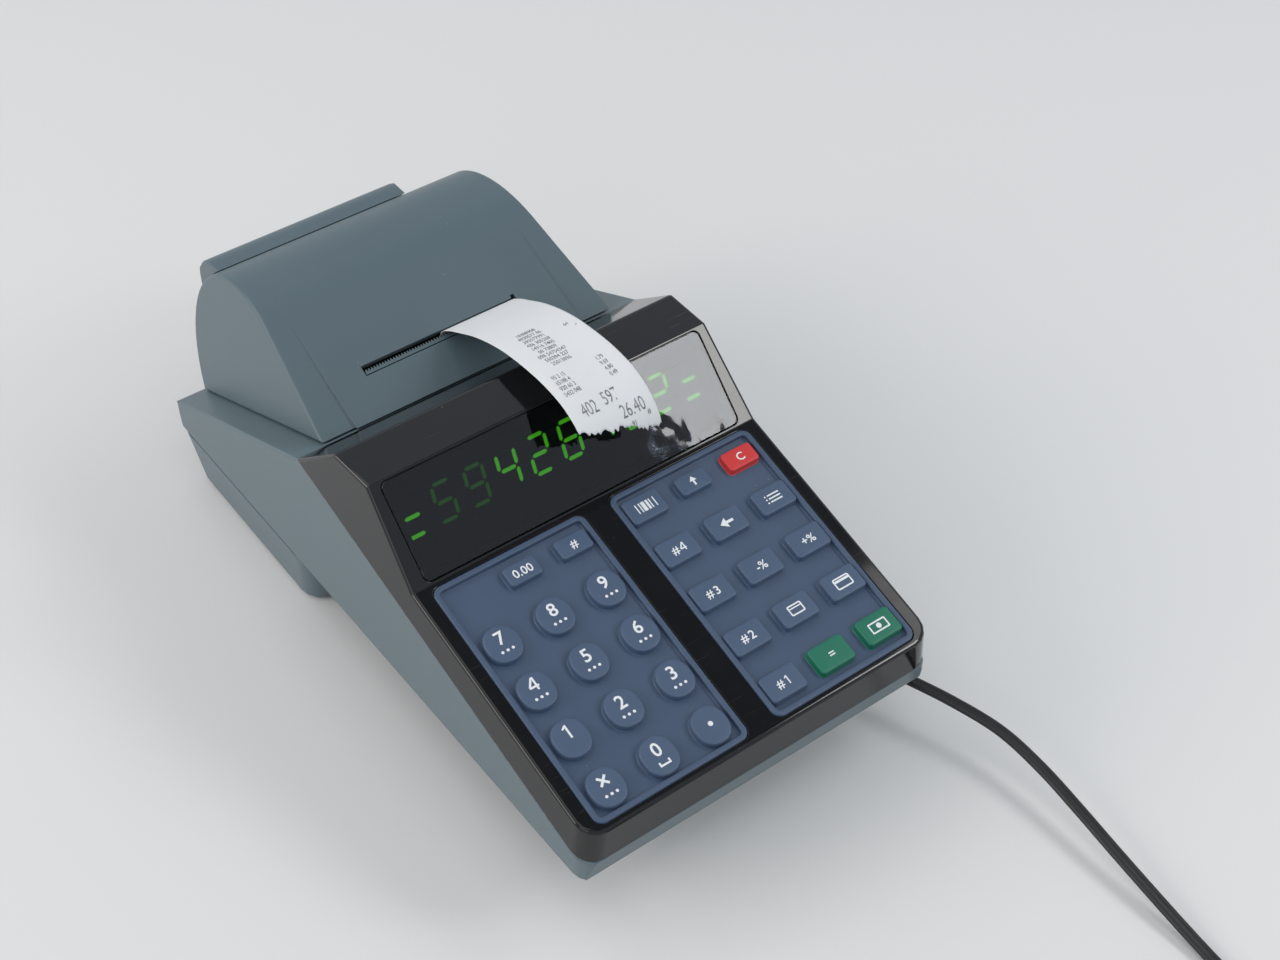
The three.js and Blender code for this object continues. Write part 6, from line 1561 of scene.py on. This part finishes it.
@dataclass
class Receipt:
    """The strip that leaves the slot and curls over the shell, with its torn end and grey print."""

    curl_shares: tuple = (
        (0.002, 0), (0.06, 0.19), (0.137, 0.37), (0.263, 0.64), (0.434, 0.885), (0.6, 0.99), (0.73, 1),
        (0.845, 0.915), (0.925, 0.725), (0.973, 0.5), (1, 0.235))
    reach: float = 0.3285 * 0.2496
    rise: float = 0.0785 * 0.2496
    thickness: float = 0.00016
    sag: float = 0.975
    short: float = 0.0082
    cut: float = 0.0013
    tear: float = 0.0008
    longest_tear: float = 0.0012
    notch: tuple[float, float] = (0.45, 0.75)
    notch_slopes: tuple[float, float] = (0.04, 0.1)
    slant: float = 1.5
    ripple: float = 0.0004
    half_ripples: float = 2.5
    throat: float = 0.0006
    step: float = 0.0005
    curl_steps: int = 12
    columns: int = 61
    rows: int = 90
    print_lift: float = 0.00004
    small: float = 0.0018
    large: float = 0.0046
    row: float = 0.0025
    seed: int = 7
    bold: float = 0.012
    sums: tuple = ((4, 3, 0), (3, 2, 1), (5, 1, 0), (2, 1, 2))
    heading: tuple = ((8, 0), (6, 3), (3, 8), (2, 5), (5, 4), (3, 6), (9, 0), (7, 2), (8, 0))

    def middle_line(self) -> Points:
        """Runs the strip's line from the slot's throat through its mouth to the free end.

        Returns:
            Its y and z, one row each.
        """
        low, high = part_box("receipt_strip")
        places = node_points("receipt_strip")
        throat = places[places[:, 1] > places[:, 1].max() - self.throat][:, 1:].mean(axis=0)
        y, z = low.y + self.reach, high.z - self.rise
        curl = [(0, y - ahead * self.reach, z + up * self.rise * self.sag) for ahead, up in self.curl_shares]
        return smooth_route(np.array([(0, *throat), *curl]), self.curl_steps)[:, 1:]

    def build(self) -> None:
        """Makes the strip and its print."""
        low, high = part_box("receipt_strip")
        line = self.middle_line()
        steps = np.linalg.norm(np.diff(line, axis=0), axis=1)
        along = np.concatenate([[0], np.cumsum(steps)])
        total = along[-1]
        noise = np.random.default_rng(self.seed)
        across = np.linspace(0, 1, self.columns)
        ragged = np.convolve(noise.normal(0, self.tear, self.columns + 1), np.ones(2) / 2, "valid")
        (left, right), (into, out_of) = self.notch, self.notch_slopes
        ragged -= self.cut * np.clip((across - left) / into, 0, 1) * np.clip((right - across) / out_of, 0, 1)
        torn = np.minimum(ragged, self.longest_tear) - self.cut
        ends = total - self.short * (1 - across) ** self.slant + torn
        wave = self.ripple * np.sin(across * pi * self.half_ripples)

        def at(x: Points, s: Points, lift: float) -> Points:
            """Gives places on the curl.

            Args:
                x: the share across.
                s: the distance along the line.
                lift: the height over the line, to which the ripple adds towards the free end.
            Returns:
                The places.
            """
            def on_line(distance: Points) -> Points:
                """Gives the line's y and z at a distance along it."""
                return np.stack([np.interp(distance, along, part) for part in line.T])

            near = np.minimum(s + self.step, total)
            dy, dz = on_line(near) - on_line(near - 2 * self.step)
            raised = lift + np.interp(x, across, wave) * np.clip(s / total, 0, 1) ** 2
            out = raised / (np.hypot(dy, dz) + TINY)
            y, z = on_line(s)
            return np.stack(
                np.broadcast_arrays(low.x + x * (high.x - low.x), y + dz * out, z - dy * out), axis=-1)

        rows = np.linspace(0, 1, self.rows)[:, None] * ends[None, :]
        grid = at(np.broadcast_to(across, rows.shape), rows, 0.0)
        strip = meshed("receipt", grid, grid_faces(self.rows, self.columns, False))
        sheet = strip.modifiers.new("thickness", "SOLIDIFY")
        sheet.thickness = self.thickness
        sheet.offset = 0
        settle(Finish.PAPER.on(strip), COVER_BODY, "paper", "receipt_strip")
        side = high.x - low.x
        out = self.thickness / 2 + self.print_lift
        piece = self.text(noise).lay("receipt_print", lambda x, y: at(x / side + 0.5, total - y, out))
        settle(Finish.INK.on(piece), COVER_BODY, "paper")

    def text(self, noise: np.random.Generator) -> Print:
        """Sets rows of plain figures, measured back from the free end.

        Args:
            noise: chooses the figures.
        Returns:
            The print.
        """
        marks = Print()

        def figures(*counts: int) -> str:
            """Gives groups of figures chosen by the noise."""
            groups = (noise.integers(0, 10, count) for count in counts if count)
            return " ".join("".join(map(str, group)) for group in groups)

        for words, x, y in (("402", -0.0066, 0.0152), ("597", 0.0014, 0.0160), ("26.40", 0.0062, 0.0098)):
            marks.text(words, x, y, self.large, 0, 0.6)
        marks.text("#", 0.0106, 0.0066, self.small, 0.01, 0.8)
        marks.text(figures(2), 0.0050, 0.0050, self.small, 0.01, 0.7)
        for k, counts in enumerate(self.sums):
            up = 0.0222 + k * self.row
            marks.text(figures(*counts), -0.0078, up, self.small, self.bold, 0.62)
            marks.text(f"{figures(1)}.{figures(2)}", 0.0072, up, self.small, self.bold, 0.62)
        for k, counts in enumerate(self.heading):
            marks.text(figures(*counts), -0.0028, 0.0352 + k * self.row, self.small, self.bold, 0.7)
        marks.text(figures(2), 0.0090, 0.0502, self.small, self.bold, 0.7)
        marks.text("-", 0.0112, 0.0480, self.small, 0.04, 0.7)
        return marks


# Printer and inside

@dataclass
class Printer:
    """What lies under the cover: frame, rolls, platen, gears, motor, head and spool, and the boards below."""

    coarse: Rounding = Rounding(0.0006)
    fine: Rounding = Rounding(0.0004)
    thin: Rounding = Rounding(0.0002)
    tiny: Rounding = Rounding(0.00015, 50)
    paper: Rounding = Rounding(0.0002, 40)

    def build(self) -> None:
        """Makes them."""
        dressed("printer_frame", Finish.FRAME, "frame", self.coarse)
        dressed("platen_roller", Finish.PLATEN, "platen", self.fine)
        dressed("platen_gear", Finish.GEAR, "gear", self.tiny)
        dressed("motor_pinion", Finish.GEAR, "gear", self.tiny)
        dressed("feed_motor", Finish.STEEL, "steel", self.fine)
        dressed("print_head", Finish.HEAT_SINK, "heat_sink", self.thin)
        dressed("takeup_spool", Finish.FRAME, "frame", self.fine)
        low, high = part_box("receipt_roll")
        axis = ((low.y + high.y) / 2, (low.z + high.z) / 2)
        for node in ("receipt_roll", "journal_roll"):
            dressed(node, wound_paper("wound_paper", Finish.PAPER.value.colour, axis), "paper", self.paper)
        dressed("battery_pack", Finish.BATTERY, "battery", self.fine)
        for node in ("main_board", "keyboard_board"):
            finished(node, Finish.BOARD)


def main() -> None:
    """Builds every sub-assembly in order."""
    logging.basicConfig(level=logging.INFO, format="%(name)s: %(message)s")
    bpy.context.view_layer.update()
    bpy.context.scene.view_settings.view_transform = "Standard"
    studio = Studio()
    studio.camera()
    SupplyLead().build()
    studio.light()
    for part in (Shells(), Keypads(), Display(), Receipt(), Printer()):
        part.build()
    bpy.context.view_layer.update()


if __name__ == "__main__":
    main()
